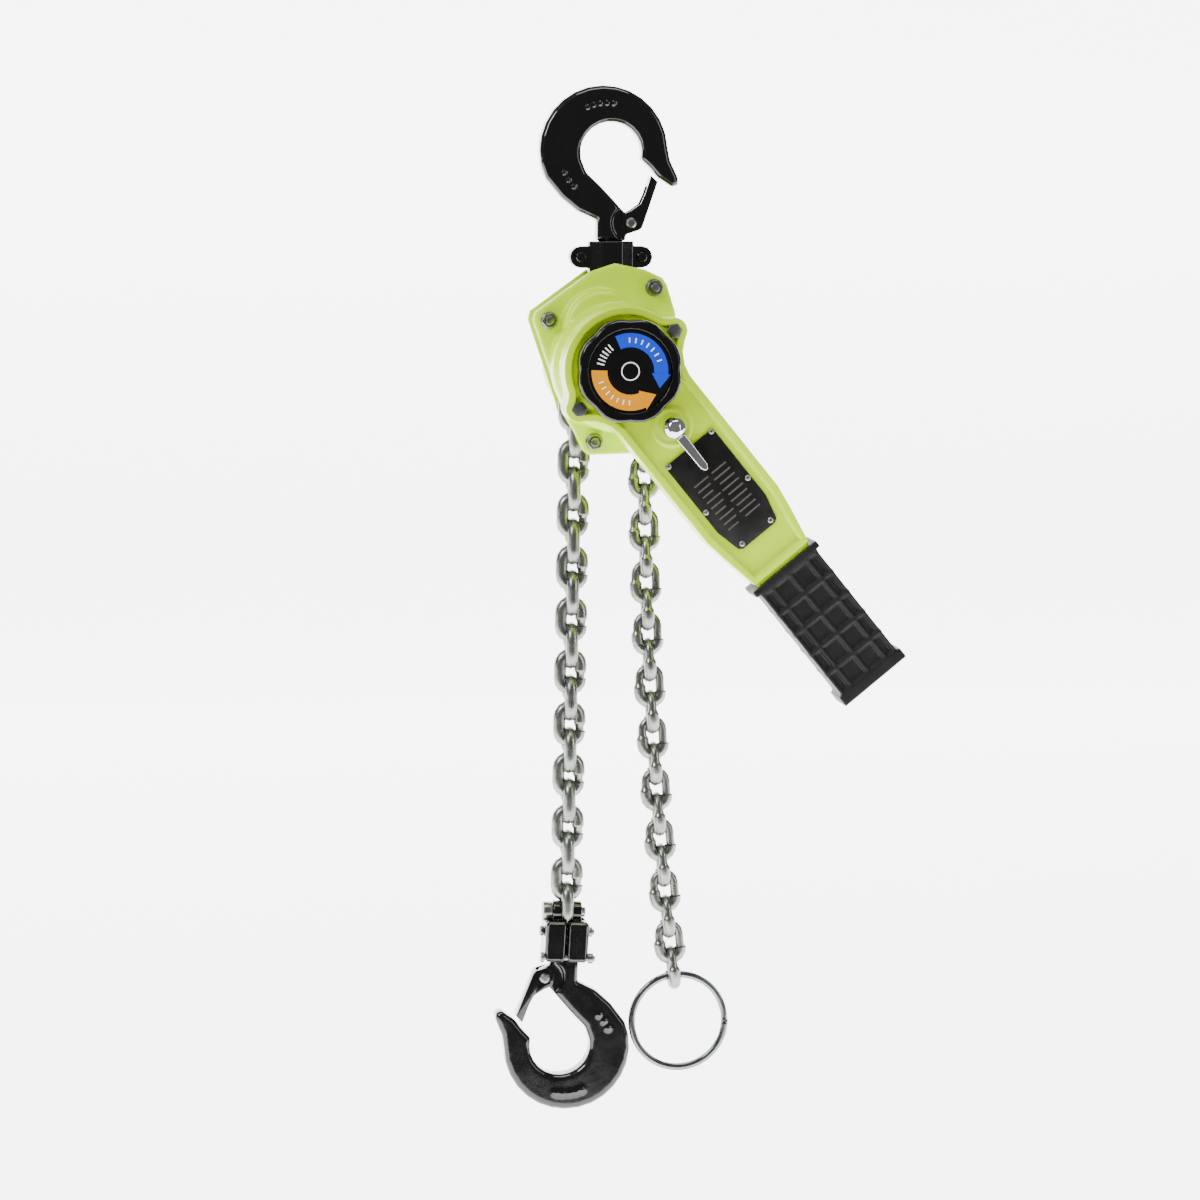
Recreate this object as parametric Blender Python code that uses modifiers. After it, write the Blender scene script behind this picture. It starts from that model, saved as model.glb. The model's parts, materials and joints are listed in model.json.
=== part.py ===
"""Lever chain hoist (come along winch): top hook, yoke, geared body, ratchet lever, chain and load hook.

Sizes are millimetres in the constants and become metres in the helpers.  +Z is up along the load line,
+X is to the lever's side and -Y is the front, where the lever and the handwheel are.  The origin is the
saddle of the top hook, the point that the hoist hangs from.  "Front height" h means the distance in front
of the chain's plane, so y = -h.
"""
import math

import bmesh
import bpy
from mathutils import Matrix, Vector

MM = 0.001

# ---- clearances ----
GAP = 0.3                 # between pieces that touch on the real hoist
RUN = 0.6                 # beside faces that turn past each other
CUT_OVER = 1.0            # how far a cutter runs past the face it opens

# ---- chain, 6 x 18 ----
CHAIN_PITCH = 18.0
CHAIN_WIRE = 6.0
CHAIN_INNER_WIDTH = 8.0
LINK_SWELL = 0.2          # wire radius added so that links of one strand bite and join
STRAND_STEP = 18.1        # centre distance inside a strand piece
STRAND_BREAK = 17.3       # centre distance across a hinge between two strand pieces
LOAD_RUNS = (7, 7, 6)     # links in each piece of the load strand
FREE_RUNS = (8, 7, 7)     # links in each piece of the free strand
LOAD_LEAN = 1.0          # degrees that the load strand leans to the left
LEAD_LEAN = -1.0          # lean of the first load link, just out of its pocket
LEAD_SHIFT = 1.2          # how far outside the contact circle the first load link hangs
FREE_CURL = 0.31         # degrees that each free link turns further to the right
FREE_LEADS = 2            # free links that belong to the chain on the sheave
FREE_PLUMB_LINKS = 3      # free links that hang plumb before the curl starts
WRAP_START = 32.0         # angle of the right-hand link on the sheave, degrees above +X
WRAP_LINKS = 4

# ---- body ----
AXIS_DROP = 164.0         # drive axis below the top hook's saddle
PIN_DROP = 104.0          # suspension pin below the saddle
PIN_R = 4.0
PLATE_T = 3.0
COVER_T = 2.5
BRAKE_DOME_R = 44.0
BRAKE_DOME_STEP_R = 40.0
BRAKE_DOME_STEP = 6.0
GEAR_DOME_R = 41.5
PAWL_LOBE = (-10.0, 26.5, 25.8)          # x and z from the axis, and radius, of the cover's bulge
BODY_OUTLINE = [                          # x, and z from the axis, anticlockwise from the apex
    (1.0, 69.0), (-15.3, 63.7), (-53.6, 36.1), (-54.8, 30.5), (-36.2, -25.5), (-34.6, -32.2),
    (-27.2, -44.7), (-21.5, -57.1), (-17.0, -60.5), (12.6, -59.7), (24.0, -53.0), (46.5, -39.0),
    (51.0, -31.0), (51.0, -21.0), (44.8, 0.0), (43.0, 14.0), (42.0, 36.7), (36.3, 54.6), (33.4, 59.1),
    (21.5, 64.7)]
STAYS = {"upper": (27.2, 52.6), "left": (-44.4, 31.0), "right": (45.2, -27.0)}
STAY_R = 3.0
STAY_SPACER_R = 5.0
STUD_PLACE = (-13.8, -51.2)
NUT_R = 6.0
NUT_T = 5.5

# ---- sheave ----
SHEAVE_R = 25.0
SHEAVE_POCKETS = 4
SEAT_DEPTH = 1.1
JOURNAL_R = 12.0
BEARING_T = 3.4
SPLINE_R = 9.5
SHAFT_R = 5.0

# ---- gears ----
GEAR_MODULE = 1.25
PRESSURE_ANGLE = 25.0
PINION_TEETH = 10
WHEEL_TEETH = 24
ADDENDUM = 0.8            # in modules: stub teeth
DEDENDUM = 1.0
BACKLASH = 0.3
GEAR_FACE = 7.0
IDLER_JOURNAL_R = 4.0

# ---- brake ----
DISC_R = 25.0
HUB_R = 9.0
DISC_T = 2.0
FLANGE_T = 2.8
RATCHET_T = 4.5
RATCHET_TEETH = 12
RATCHET_TIP_R = 30.0
RATCHET_ROOT_R = 26.0
PAWL_PIVOT_R = 36.0
PAWL_PIVOT_ANGLE = 120.0
PAWL_REACH = 24.0         # degrees from a pawl's pivot to its tip
PAWL_STUD_R = 2.0
PAWL_BOSS_R = 4.2
COG_NECK_R = 13.0
COG_TEETH = 12
COG_TIP_R = 22.5
COG_ROOT_R = 17.5
COG_T = 10.0
COG_NOSE_R = 10.0

# ---- lever ----
LEVER_ANGLE = 51.1        # degrees that the lever points below +X
LEVER_CLEAR = 5.0         # between the brake cover and the lever
LEVER_T = 26.0
LEVER_WALL = 2.0
LEVER_HEAD_R = 41.8
LEVER_BOLT_AT = 41.0
LEVER_BOLT_HEAD_R = 5.3
LEVER_BOLT_R = 2.6
LEVER_LOBE_R = 8.8
LEVER_HALF = 30.6
LEVER_NECK_AT = 30.0
LEVER_TAPER_AT = 125.0
GRIP_START = 170.0
GRIP_END = 272.0
GRIP_HALF = 24.6
GRIP_FLANGE = 3.4
GRIP_WALL = 3.0
NAMEPLATE = (66.8, 143.2, 20.6, 16.0)    # start, end, half-width, half-width at the far end
NAMEPLATE_T = 1.0

# ---- selector and change pawl ----
SELECTOR_AT = 49.0
SELECTOR_SHAFT_R = 4.0
BALL_R = 8.3
SELECTOR_REACH = 36.5
PAWL_ARM = 29.5
PAWL_ARM_ANGLE = 35.0

# ---- handwheel ----
WHEEL_R = 35.0
WHEEL_T = 15.0
WHEEL_LOBES = 8
WHEEL_LOBE_DEPTH = 1.6
DIAL_R = 27.6
DIAL_T = 1.2
DIAL_SUNK = 2.5

# ---- hooks ----
HOOK_HALF_T = 8.0
HOOK_EDGE = 2.4
HOOK_BOWL_R = 21.0
HOOK_BACK = (-5.1, -19.4, 43.8)          # centre x, z and radius of the outer curve
HOOK_NECK_R = 7.1
HOOK_BUTTON_R = 10.2
HOOK_COLLAR_END = 80.0
HOOK_BUTTON_AT = 86.6
HOOK_BUTTON_T = 4.9
LATCH_PIVOT = (13.3, -68.0)
LATCH_RIVET_R = 2.3
LATCH_HALF_T = 6.2
LATCH_WEB = 4.2           # half thickness of the hook between the latch's cheeks
YOKE_HALF_W = 15.0
YOKE_EAR = (20.9, 91.0, 7.4)             # x, drop and radius of each ear

# ---- load block, below the chain pin ----
BLOCK_TILT = 3.3
BLOCK_HALF_X = 15.0
BLOCK_HALF_Y = 14.0
BLOCK_TOP = 5.0
LOBE_R = 7.6
CHAIN_PIN_R = 3.5
PIN_HEAD_R = 6.6
BLOCK_BOLT_R = 2.0
HOOK_FALL = 113.8         # chain pin to the load hook's saddle
BLOCK_BOLTS = ((-14.0, 0.0), (-30.4, 10.5))   # z from the chain pin, and front height

# ---- pull ring ----
RING_R = 32.7
RING_WIRE_R = 2.3

# ---- stack of front heights, worked out from the sizes above ----
LINK_WIRE_R = CHAIN_WIRE / 2 + LINK_SWELL
LINK_HALF_W = CHAIN_INNER_WIDTH / 2 + CHAIN_WIRE / 2       # centre line
LINK_OUTER = LINK_HALF_W + LINK_WIRE_R
SHEAVE_HALF = LINK_OUTER + 1.1
PLATE_IN = SHEAVE_HALF + 0.7
PLATE_OUT = PLATE_IN + PLATE_T
COVER_SEAT = PLATE_OUT + GAP
HUB_DISC = (PLATE_OUT + 1.0, PLATE_OUT + 1.0 + FLANGE_T)
INNER_DISC = (HUB_DISC[1] + GAP, HUB_DISC[1] + GAP + DISC_T)
RATCHET = (INNER_DISC[1] + GAP, INNER_DISC[1] + GAP + RATCHET_T)
OUTER_DISC = (RATCHET[1] + GAP, RATCHET[1] + GAP + DISC_T)
COG_FLANGE = (OUTER_DISC[1] + GAP, OUTER_DISC[1] + GAP + FLANGE_T)
BRAKE_COVER_TOP = COG_FLANGE[1] + 6.5 + COVER_T
LEVER_BACK = BRAKE_COVER_TOP + LEVER_CLEAR
LEVER_FRONT = LEVER_BACK + LEVER_T
LEVER_SPLIT = LEVER_BACK + LEVER_T / 2
COG = (LEVER_BACK + LEVER_WALL + 1.2, LEVER_BACK + LEVER_WALL + 1.2 + COG_T)
WHEEL_BACK = LEVER_FRONT + 3.8
WHEEL_FRONT = WHEEL_BACK + WHEEL_T
DIAL = (WHEEL_FRONT - DIAL_SUNK, WHEEL_FRONT - DIAL_SUNK + DIAL_T)
LOAD_GEAR = (-(PLATE_OUT + 1.2 + GEAR_FACE), -(PLATE_OUT + 1.2))
IDLER_WHEEL = (LOAD_GEAR[0] - 1.3 - GEAR_FACE, LOAD_GEAR[0] - 1.3)
GEAR_COVER_BACK = IDLER_WHEEL[0] - 13.5 - COVER_T
GEAR_CENTRES = GEAR_MODULE * (PINION_TEETH + WHEEL_TEETH) / 2
WRAP_CONTACT_R = CHAIN_PITCH / 2 / math.sin(math.radians(22.5))
WRAP_CENTRE_R = WRAP_CONTACT_R * math.cos(math.radians(22.5))

for old in list(bpy.data.objects):
    bpy.data.objects.remove(old, do_unlink=True)

HOIST = bpy.data.collections.new("lever_chain_hoist")
CUTTERS = bpy.data.collections.new("cutters")
for group in (HOIST, CUTTERS):
    bpy.context.scene.collection.children.link(group)


def make_material(name, colour, roughness, metallic):
    """A plain Principled material."""
    mat = bpy.data.materials.new(name)
    mat.use_nodes = True
    shader = mat.node_tree.nodes["Principled BSDF"]
    shader.inputs["Base Color"].default_value = (*colour, 1.0)
    shader.inputs["Roughness"].default_value = roughness
    shader.inputs["Metallic"].default_value = metallic
    return mat


LIME = make_material("lime_enamel", (0.68, 0.84, 0.08), 0.3, 0.0)
BLACK = make_material("black_enamel", (0.012, 0.012, 0.013), 0.22, 0.0)
ZINC = make_material("zinc_plate", (0.72, 0.73, 0.71), 0.35, 1.0)
STEEL = make_material("machined_steel", (0.5, 0.5, 0.5), 0.35, 1.0)
CHROME = make_material("chrome", (0.8, 0.8, 0.8), 0.08, 1.0)
FRICTION = make_material("friction_lining", (0.16, 0.1, 0.06), 0.8, 0.0)
RUBBER = make_material("black_rubber", (0.018, 0.018, 0.018), 0.6, 0.0)
DARK_PLATE = make_material("printed_plate", (0.03, 0.026, 0.022), 0.45, 0.0)


# ---- helpers ----
def add_object(name, mesh, mat, parent=None, cutter=False):
    """Link a mesh as a hoist piece, or as a hidden cutter."""
    obj = bpy.data.objects.new(name, mesh)
    (CUTTERS if cutter else HOIST).objects.link(obj)
    obj.parent = parent
    if cutter:
        obj.hide_render = True
        obj.display_type = "WIRE"
    else:
        mesh.materials.append(mat)
    return obj


def empty_at(name, place, turn=0.0):
    """An empty on a joint or a sub-assembly's origin, turned about Y by degrees."""
    empty = bpy.data.objects.new(name, None)
    HOIST.objects.link(empty)
    empty.location = Vector(place) * MM
    empty.rotation_euler = (0.0, math.radians(turn), 0.0)
    return empty


def facing_front(obj):
    """Turn a flat piece so that its own X, Y and Z run along X, Z and -Y."""
    obj.rotation_euler = (math.pi / 2, 0.0, 0.0)
    return obj


def slab(name, outline, span, mat, parent=None, cutter=False, edge=0.0, upright=True):
    """A flat outline with a thickness from span[0] to span[1], as a welded mesh."""
    curve = bpy.data.curves.new(name, "CURVE")
    curve.dimensions = "2D"
    curve.fill_mode = "BOTH"
    line = curve.splines.new("POLY")
    line.points.add(len(outline) - 1)
    for point, (x, y) in zip(line.points, outline):
        point.co = (x * MM, y * MM, 0.0, 1.0)
    line.use_cyclic_u = True
    curve.extrude = ((span[1] - span[0]) / 2 - edge) * MM
    if edge:
        curve.bevel_depth = edge * MM
        curve.bevel_resolution = 0
        curve.offset = -edge * MM
    blank = bpy.data.objects.new(name + "_outline", curve)
    bpy.context.scene.collection.objects.link(blank)
    bpy.context.view_layer.update()
    evaluated = blank.evaluated_get(bpy.context.evaluated_depsgraph_get())
    mesh = bpy.data.meshes.new_from_object(evaluated)
    bpy.data.objects.remove(blank, do_unlink=True)
    work = bmesh.new()
    work.from_mesh(mesh)
    bmesh.ops.remove_doubles(work, verts=work.verts, dist=0.00001)
    bmesh.ops.recalc_face_normals(work, faces=work.faces)
    bmesh.ops.dissolve_limit(work, angle_limit=math.radians(0.2), verts=work.verts, edges=work.edges)
    bmesh.ops.translate(work, verts=work.verts, vec=(0.0, 0.0, (span[0] + span[1]) / 2 * MM))
    work.to_mesh(mesh)
    work.free()
    mesh.materials.clear()
    obj = add_object(name, mesh, mat, parent, cutter)
    return facing_front(obj) if upright else obj


def turned(name, profile, mat, place=(0.0, 0.0), parent=None, cutter=False, steps=20, axis="Y"):
    """A turned piece: profile points (radius, height) from the top of the outside down.

    A profile that starts and ends at the same point is a ring; height runs towards the front for axis Y,
    up for axis Z and to the right for axis X.
    """
    mesh = bpy.data.meshes.new(name)
    ring = profile[0] == profile[-1]
    points = profile[:-1] if ring else profile
    edges = [(i, i + 1) for i in range(len(points) - 1)]
    if ring:
        edges.append((len(points) - 1, 0))
    mesh.from_pydata([(r * MM, 0.0, h * MM) for r, h in points], edges, [])
    obj = add_object(name, mesh, mat, parent, cutter)
    screw = obj.modifiers.new("turn", "SCREW")
    screw.steps = steps
    screw.render_steps = steps
    screw.use_merge_vertices = True
    screw.merge_threshold = 0.00001
    obj.location = (place[0] * MM, 0.0, place[1] * MM)
    if axis == "Y":
        facing_front(obj)
    elif axis == "X":
        obj.rotation_euler = (0.0, math.pi / 2, 0.0)
    return obj


def rod(name, radius, span, mat, **where):
    """A plain cylinder between two heights."""
    return turned(name, [(0.0, span[1]), (radius, span[1]), (radius, span[0]), (0.0, span[0])], mat, **where)


def box(name, low, high, mat, parent=None, cutter=False):
    """A block between two corners, given as x, front height and z."""
    work = bmesh.new()
    bmesh.ops.create_cube(work, size=1.0)
    size = [(b - a) * MM for a, b in zip(low, high)]
    centre = [(a + b) / 2 * MM for a, b in zip(low, high)]
    bmesh.ops.scale(work, verts=work.verts, vec=(size[0], size[1], size[2]))
    bmesh.ops.translate(work, verts=work.verts, vec=(centre[0], -centre[1], centre[2]))
    mesh = bpy.data.meshes.new(name)
    work.to_mesh(mesh)
    work.free()
    return add_object(name, mesh, mat, parent, cutter)


def boolean(obj, other, operation):
    """Cut or join with the EXACT solver; the other object becomes a hidden cutter."""
    step = obj.modifiers.new(operation.lower(), "BOOLEAN")
    step.operation = operation
    step.solver = "EXACT"
    step.object = other
    if other.name in HOIST.objects:
        HOIST.objects.unlink(other)
        CUTTERS.objects.link(other)
    other.hide_render = True
    other.display_type = "WIRE"
    return obj


def cut(obj, *others):
    for other in others:
        boolean(obj, other, "DIFFERENCE")
    return obj


def join(obj, *others):
    for other in others:
        boolean(obj, other, "UNION")
    return obj


def drill(obj, place, radius, span, parent=None, steps=16):
    """A round hole along Y at place (x, z), between two front heights."""
    name = f"{obj.name}_hole_{len(obj.modifiers)}"
    return cut(obj, rod(name, radius, span, None, place=place, parent=parent, cutter=True, steps=steps))


def arc(cx, cy, radius, start, end, count):
    """Points on an arc, in degrees, both ends included."""
    angles = [math.radians(start + (end - start) * i / (count - 1)) for i in range(count)]
    return [(cx + radius * math.cos(a), cy + radius * math.sin(a)) for a in angles]


def polar(radius, angle):
    return radius * math.cos(math.radians(angle)), radius * math.sin(math.radians(angle))


def from_axis(points):
    """Points given from the drive axis, moved to the hoist's frame."""
    return [(x, z - AXIS_DROP) for x, z in points]


def hexagon(cx, cy, radius, turn=0.0):
    return [(cx + dx, cy + dy) for dx, dy in (polar(radius, 60 * i + turn) for i in range(6))]


AXIS = (0.0, -AXIS_DROP)
THROUGH_FRONT = (PLATE_IN - CUT_OVER, PLATE_OUT + COVER_T + 8.0)
THROUGH_REAR = (-PLATE_OUT - COVER_T - 8.0, -PLATE_IN + CUT_OVER)


# ---- hooks, latches and their rivets ----
def hook_outline():
    """The forged hook seen from the front, saddle at the origin."""
    back_x, back_z, back_r = HOOK_BACK
    pivot_x, pivot_z = LATCH_PIVOT
    outline = [(-9.8, -HOOK_COLLAR_END), (-9.8, -66.0), (-23.0, -60.0), (-34.0, -51.0)]
    outline += arc(back_x, back_z, back_r, 205.0, 3.0, 17)
    outline += [(40.3, -26.0), (45.9, -38.0), (45.6, -42.6), (41.5, -43.9), (32.3, -37.7), (26.6, -31.0)]
    outline += arc(0.0, -HOOK_BOWL_R, HOOK_BOWL_R, -12.0, 190.0, 14)
    outline += [(-17.0, -34.0), (-7.0, -43.5), (9.4, -61.0)]
    outline += arc(pivot_x, pivot_z, 6.0, 100.0, -60.0, 6)
    outline += [(9.8, -76.5), (9.8, -HOOK_COLLAR_END)]
    return outline


def latch_outline():
    return [(12.0, -75.2), (19.6, -72.6), (21.2, -70.5), (31.6, -40.4), (27.2, -36.2), (22.9, -49.0),
            (20.0, -55.2), (14.0, -59.5), (7.5, -62.5), (6.6, -70.0)]


def make_hook(name, parent):
    hook = slab(name, hook_outline(), (-HOOK_HALF_T, HOOK_HALF_T), BLACK, parent, edge=HOOK_EDGE)
    top, button_end = -HOOK_COLLAR_END + CUT_OVER, -HOOK_BUTTON_AT - HOOK_BUTTON_T
    stem = [(0.0, top), (HOOK_NECK_R, top), (HOOK_NECK_R, -HOOK_BUTTON_AT),
            (HOOK_BUTTON_R, -HOOK_BUTTON_AT), (HOOK_BUTTON_R, button_end), (0.0, button_end)]
    join(hook, turned(name + "_stem", stem, BLACK, parent=parent, axis="Z"))
    for side in (-1, 1):
        span = sorted((side * LATCH_WEB, side * (HOOK_HALF_T + CUT_OVER)))
        cheek = rod(f"{name}_cheek_{side}", 13.5, span, None, place=LATCH_PIVOT, parent=parent,
                    cutter=True)
        cut(hook, cheek)
    drill(hook, LATCH_PIVOT, LATCH_RIVET_R + GAP, (-20.0, 20.0), parent)
    return hook


def make_latch(name, parent):
    latch = slab(name, latch_outline(), (-LATCH_HALF_T, LATCH_HALF_T), BLACK, parent)
    channel = [(0.0, -80.0), (16.8, -80.0), (19.7, -70.1), (29.2, -43.6), (0.0, -43.6)]
    half = LATCH_WEB + GAP + 0.1
    cut(latch, slab(name + "_channel", channel, (-half, half), None, parent, cutter=True))
    drill(latch, LATCH_PIVOT, LATCH_RIVET_R + GAP, (-20.0, 20.0), parent)
    return latch


def make_latch_rivet(name, parent):
    seat, end = LATCH_HALF_T + GAP, LATCH_HALF_T + GAP + 2.2
    profile = [(0.0, end), (2.6, end), (3.8, seat + 0.8), (3.8, seat), (LATCH_RIVET_R, seat),
               (LATCH_RIVET_R, -seat), (3.8, -seat), (3.8, -seat - 0.8), (2.6, -end), (0.0, -end)]
    return turned(name, profile, ZINC, place=LATCH_PIVOT, parent=parent, steps=16)


top_origin = empty_at("top_hook_saddle", (0.0, 0.0, 0.0))
make_hook("top_hook", top_origin)
make_latch("top_latch", top_origin)
make_latch_rivet("top_latch_rivet", top_origin)


# ---- yoke halves, their rivets and the suspension pin ----
def make_yoke(name, side):
    """One half of the yoke; side 1 is the front half."""
    ear_x, ear_drop, ear_r = YOKE_EAR
    outline = arc(ear_x, -ear_drop, ear_r, -90.0, 90.0, 7) + arc(-ear_x, -ear_drop, ear_r, 90.0, 270.0, 7)
    ears = slab(name, outline, sorted((side * GAP / 2, side * 5.5)), BLACK)
    depth = PLATE_IN - RUN
    facets = [(-YOKE_HALF_W, GAP / 2), (YOKE_HALF_W, GAP / 2), (YOKE_HALF_W, 5.0), (6.5, depth),
              (-6.5, depth), (-YOKE_HALF_W, 5.0)]
    block = slab(name + "_block", [(x, -side * y) for x, y in facets],
                 (-PIN_DROP - 10.0, -HOOK_COLLAR_END - 0.4), BLACK, upright=False)
    join(ears, block)
    bore = rod(name + "_bore", HOOK_NECK_R + GAP, (-HOOK_BUTTON_AT - 1.0, -HOOK_COLLAR_END + 1.0), None,
               cutter=True, axis="Z")
    pocket_top = -HOOK_BUTTON_AT + GAP
    pocket_end = -HOOK_BUTTON_AT - HOOK_BUTTON_T - GAP
    pocket = rod(name + "_pocket", HOOK_BUTTON_R + GAP, (pocket_end, pocket_top), None, cutter=True,
                 axis="Z")
    cut(ears, bore, pocket)
    drill(ears, (0.0, -PIN_DROP), PIN_R + GAP, (-20.0, 20.0))
    for x in (-ear_x, ear_x):
        drill(ears, (x, -ear_drop), 2.3 + GAP, (-20.0, 20.0), steps=16)
    return ears


make_yoke("yoke_front", 1)
make_yoke("yoke_rear", -1)
for label, x in (("left", -YOKE_EAR[0]), ("right", YOKE_EAR[0])):
    seat = 5.5 + GAP
    rivet_profile = [(0.0, seat + 1.8), (3.2, seat + 1.8), (4.0, seat), (2.3, seat), (2.3, -seat),
                     (4.0, -seat), (3.2, -seat - 1.8), (0.0, -seat - 1.8)]
    turned("yoke_rivet_" + label, rivet_profile, BLACK, place=(x, -YOKE_EAR[1]), steps=12)
rod("suspension_pin", PIN_R, (-PLATE_OUT, PLATE_OUT), STEEL, place=(0.0, -PIN_DROP))


# ---- side plates ----
def pawl_pivot(index):
    x, z = polar(PAWL_PIVOT_R, PAWL_PIVOT_ANGLE + 180.0 * index)
    return x, z - AXIS_DROP


BEARING_R = JOURNAL_R + GAP + BEARING_T
IDLER_PLACES = {"left": (-GEAR_CENTRES, -AXIS_DROP), "right": (GEAR_CENTRES, -AXIS_DROP)}


def make_side_plate(name, side):
    """A steel side plate, drilled for the pin, the stays, the bearing and, at the rear, the idlers."""
    plate = slab(name, from_axis(BODY_OUTLINE), sorted((side * PLATE_IN, side * PLATE_OUT)), LIME)
    span = THROUGH_FRONT if side > 0 else THROUGH_REAR
    drill(plate, (0.0, -PIN_DROP), PIN_R + GAP, span)
    drill(plate, AXIS, BEARING_R + GAP, span, steps=32)
    for x, z in STAYS.values():
        drill(plate, (x, z - AXIS_DROP), STAY_R + GAP, span, steps=16)
    if side > 0:
        for index in (0, 1):
            stud = rod(f"pawl_stud_{index}", PAWL_STUD_R, (PLATE_OUT - 1.0, RATCHET[1] + 1.5), LIME,
                       place=pawl_pivot(index), steps=12)
            join(plate, stud)
        drill(plate, (STUD_PLACE[0], STUD_PLACE[1] - AXIS_DROP), STAY_R + GAP, span, steps=16)
    else:
        for place in IDLER_PLACES.values():
            drill(plate, place, IDLER_JOURNAL_R + GAP, span)
    return plate


make_side_plate("side_plate_front", 1)
make_side_plate("side_plate_rear", -1)

# ---- stays, studs and nuts ----
NUT_SEAT = COVER_SEAT + COVER_T + GAP
NUT_TOP = NUT_SEAT + NUT_T
for label, (x, z) in STAYS.items():
    spacer = PLATE_IN - GAP
    rear_end = -(COVER_SEAT + COVER_T + 3.0)
    stay_profile = [(0.0, NUT_TOP + 1.0), (STAY_R, NUT_TOP + 1.0), (STAY_R, spacer),
                    (STAY_SPACER_R, spacer), (STAY_SPACER_R, -spacer), (STAY_R, -spacer),
                    (STAY_R, rear_end + 3.0 - GAP), (STAY_R, rear_end), (0.0, rear_end)]
    turned("stay_bolt_" + label, stay_profile, ZINC, place=(x, z - AXIS_DROP), steps=16)
rod("cover_stud", STAY_R, (PLATE_IN, NUT_TOP + 1.0), ZINC,
    place=(STUD_PLACE[0], STUD_PLACE[1] - AXIS_DROP), steps=16)
nut_places = {"upper": STAYS["upper"], "left": STAYS["left"], "stud": STUD_PLACE}
for label, (x, z) in nut_places.items():
    washer_top = NUT_SEAT + 1.0
    nut = slab("nut_" + label, hexagon(x, z - AXIS_DROP, NUT_R - 0.4, 10.0), (washer_top - 0.2, NUT_TOP),
               ZINC)
    join(nut, rod("washer_" + label, NUT_R, (NUT_SEAT, washer_top), ZINC, place=(x, z - AXIS_DROP),
                  steps=20))
    drill(nut, (x, z - AXIS_DROP), STAY_R + GAP, (NUT_SEAT - 2.0, NUT_TOP + 3.0), steps=16)


# ---- covers ----
def make_brake_cover():
    """The pressed front cover: flange, stepped dome and the bulge over the upper pawl."""
    outline = from_axis(BODY_OUTLINE)
    cover = slab("brake_cover", outline, (COVER_SEAT, COVER_SEAT + COVER_T), LIME)
    lobe_x, lobe_z, lobe_r = PAWL_LOBE
    shoulder = BRAKE_COVER_TOP - BRAKE_DOME_STEP
    base = COVER_SEAT + COVER_T / 2
    dome = [(0.0, BRAKE_COVER_TOP), (BRAKE_DOME_STEP_R, BRAKE_COVER_TOP), (BRAKE_DOME_R, shoulder),
            (BRAKE_DOME_R, base), (0.0, base)]
    lobe = [(0.0, shoulder), (lobe_r - 3.0, shoulder), (lobe_r, shoulder - 3.0), (lobe_r, base),
            (0.0, base)]
    lobe_place = (lobe_x, lobe_z - AXIS_DROP)
    join(cover, turned("brake_dome", dome, LIME, place=AXIS, steps=36),
         turned("pawl_lobe", lobe, LIME, place=lobe_place, steps=28))
    wall = COVER_T
    inside = COVER_SEAT - CUT_OVER
    dome_hollow = [(0.0, BRAKE_COVER_TOP - wall), (BRAKE_DOME_STEP_R - 1.0, BRAKE_COVER_TOP - wall),
                   (BRAKE_DOME_R - wall, shoulder - 1.0), (BRAKE_DOME_R - wall, inside), (0.0, inside)]
    lobe_hollow = [(0.0, shoulder - wall), (lobe_r - wall - 2.0, shoulder - wall),
                   (lobe_r - wall, shoulder - wall - 2.0), (lobe_r - wall, inside), (0.0, inside)]
    cut(cover, turned("brake_dome_hollow", dome_hollow, None, place=AXIS, cutter=True, steps=36),
        turned("pawl_lobe_hollow", lobe_hollow, None, place=lobe_place, cutter=True, steps=28))
    drill(cover, AXIS, COG_NECK_R + RUN, (COVER_SEAT, BRAKE_COVER_TOP + CUT_OVER), steps=32)
    for x, z in list(STAYS.values()) + [STUD_PLACE]:
        drill(cover, (x, z - AXIS_DROP), STAY_R + GAP, THROUGH_FRONT, steps=16)
    drill(cover, (0.0, -PIN_DROP), PIN_R + GAP, (PLATE_IN, COVER_SEAT + COVER_T / 2))
    return cover


def make_gear_cover():
    """The pressed rear cover with the bearing bosses of the idlers and of the pinion shaft."""
    outline = from_axis(BODY_OUTLINE)
    cover = slab("gear_cover", outline, (-COVER_SEAT - COVER_T, -COVER_SEAT), LIME)
    base = -COVER_SEAT - COVER_T / 2
    back = GEAR_COVER_BACK
    dome = [(0.0, base), (GEAR_DOME_R, base), (GEAR_DOME_R, back + 5.0), (GEAR_DOME_R - 5.0, back),
            (0.0, back)]
    join(cover, turned("gear_dome", dome, LIME, place=AXIS, steps=32))
    wall = COVER_T
    hollow = [(0.0, -COVER_SEAT + CUT_OVER), (GEAR_DOME_R - wall, -COVER_SEAT + CUT_OVER),
              (GEAR_DOME_R - wall, back + 5.5), (GEAR_DOME_R - wall - 3.5, back + wall), (0.0, back + wall)]
    cut(cover, turned("gear_dome_hollow", hollow, None, place=AXIS, cutter=True, steps=32))
    for x, z in STAYS.values():
        drill(cover, (x, z - AXIS_DROP), STAY_R + GAP, THROUGH_REAR, steps=16)
    for label, place in list(IDLER_PLACES.items()) + [("shaft", AXIS)]:
        join(cover, rod("boss_" + label, IDLER_JOURNAL_R + 3.2, (back + 1.0, IDLER_WHEEL[0] - 2.0), LIME,
                        place=place, steps=20))
        drill(cover, place, IDLER_JOURNAL_R + GAP, (IDLER_WHEEL[0] - 8.5, IDLER_WHEEL[0]))
    return cover


make_brake_cover()
make_gear_cover()

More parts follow.
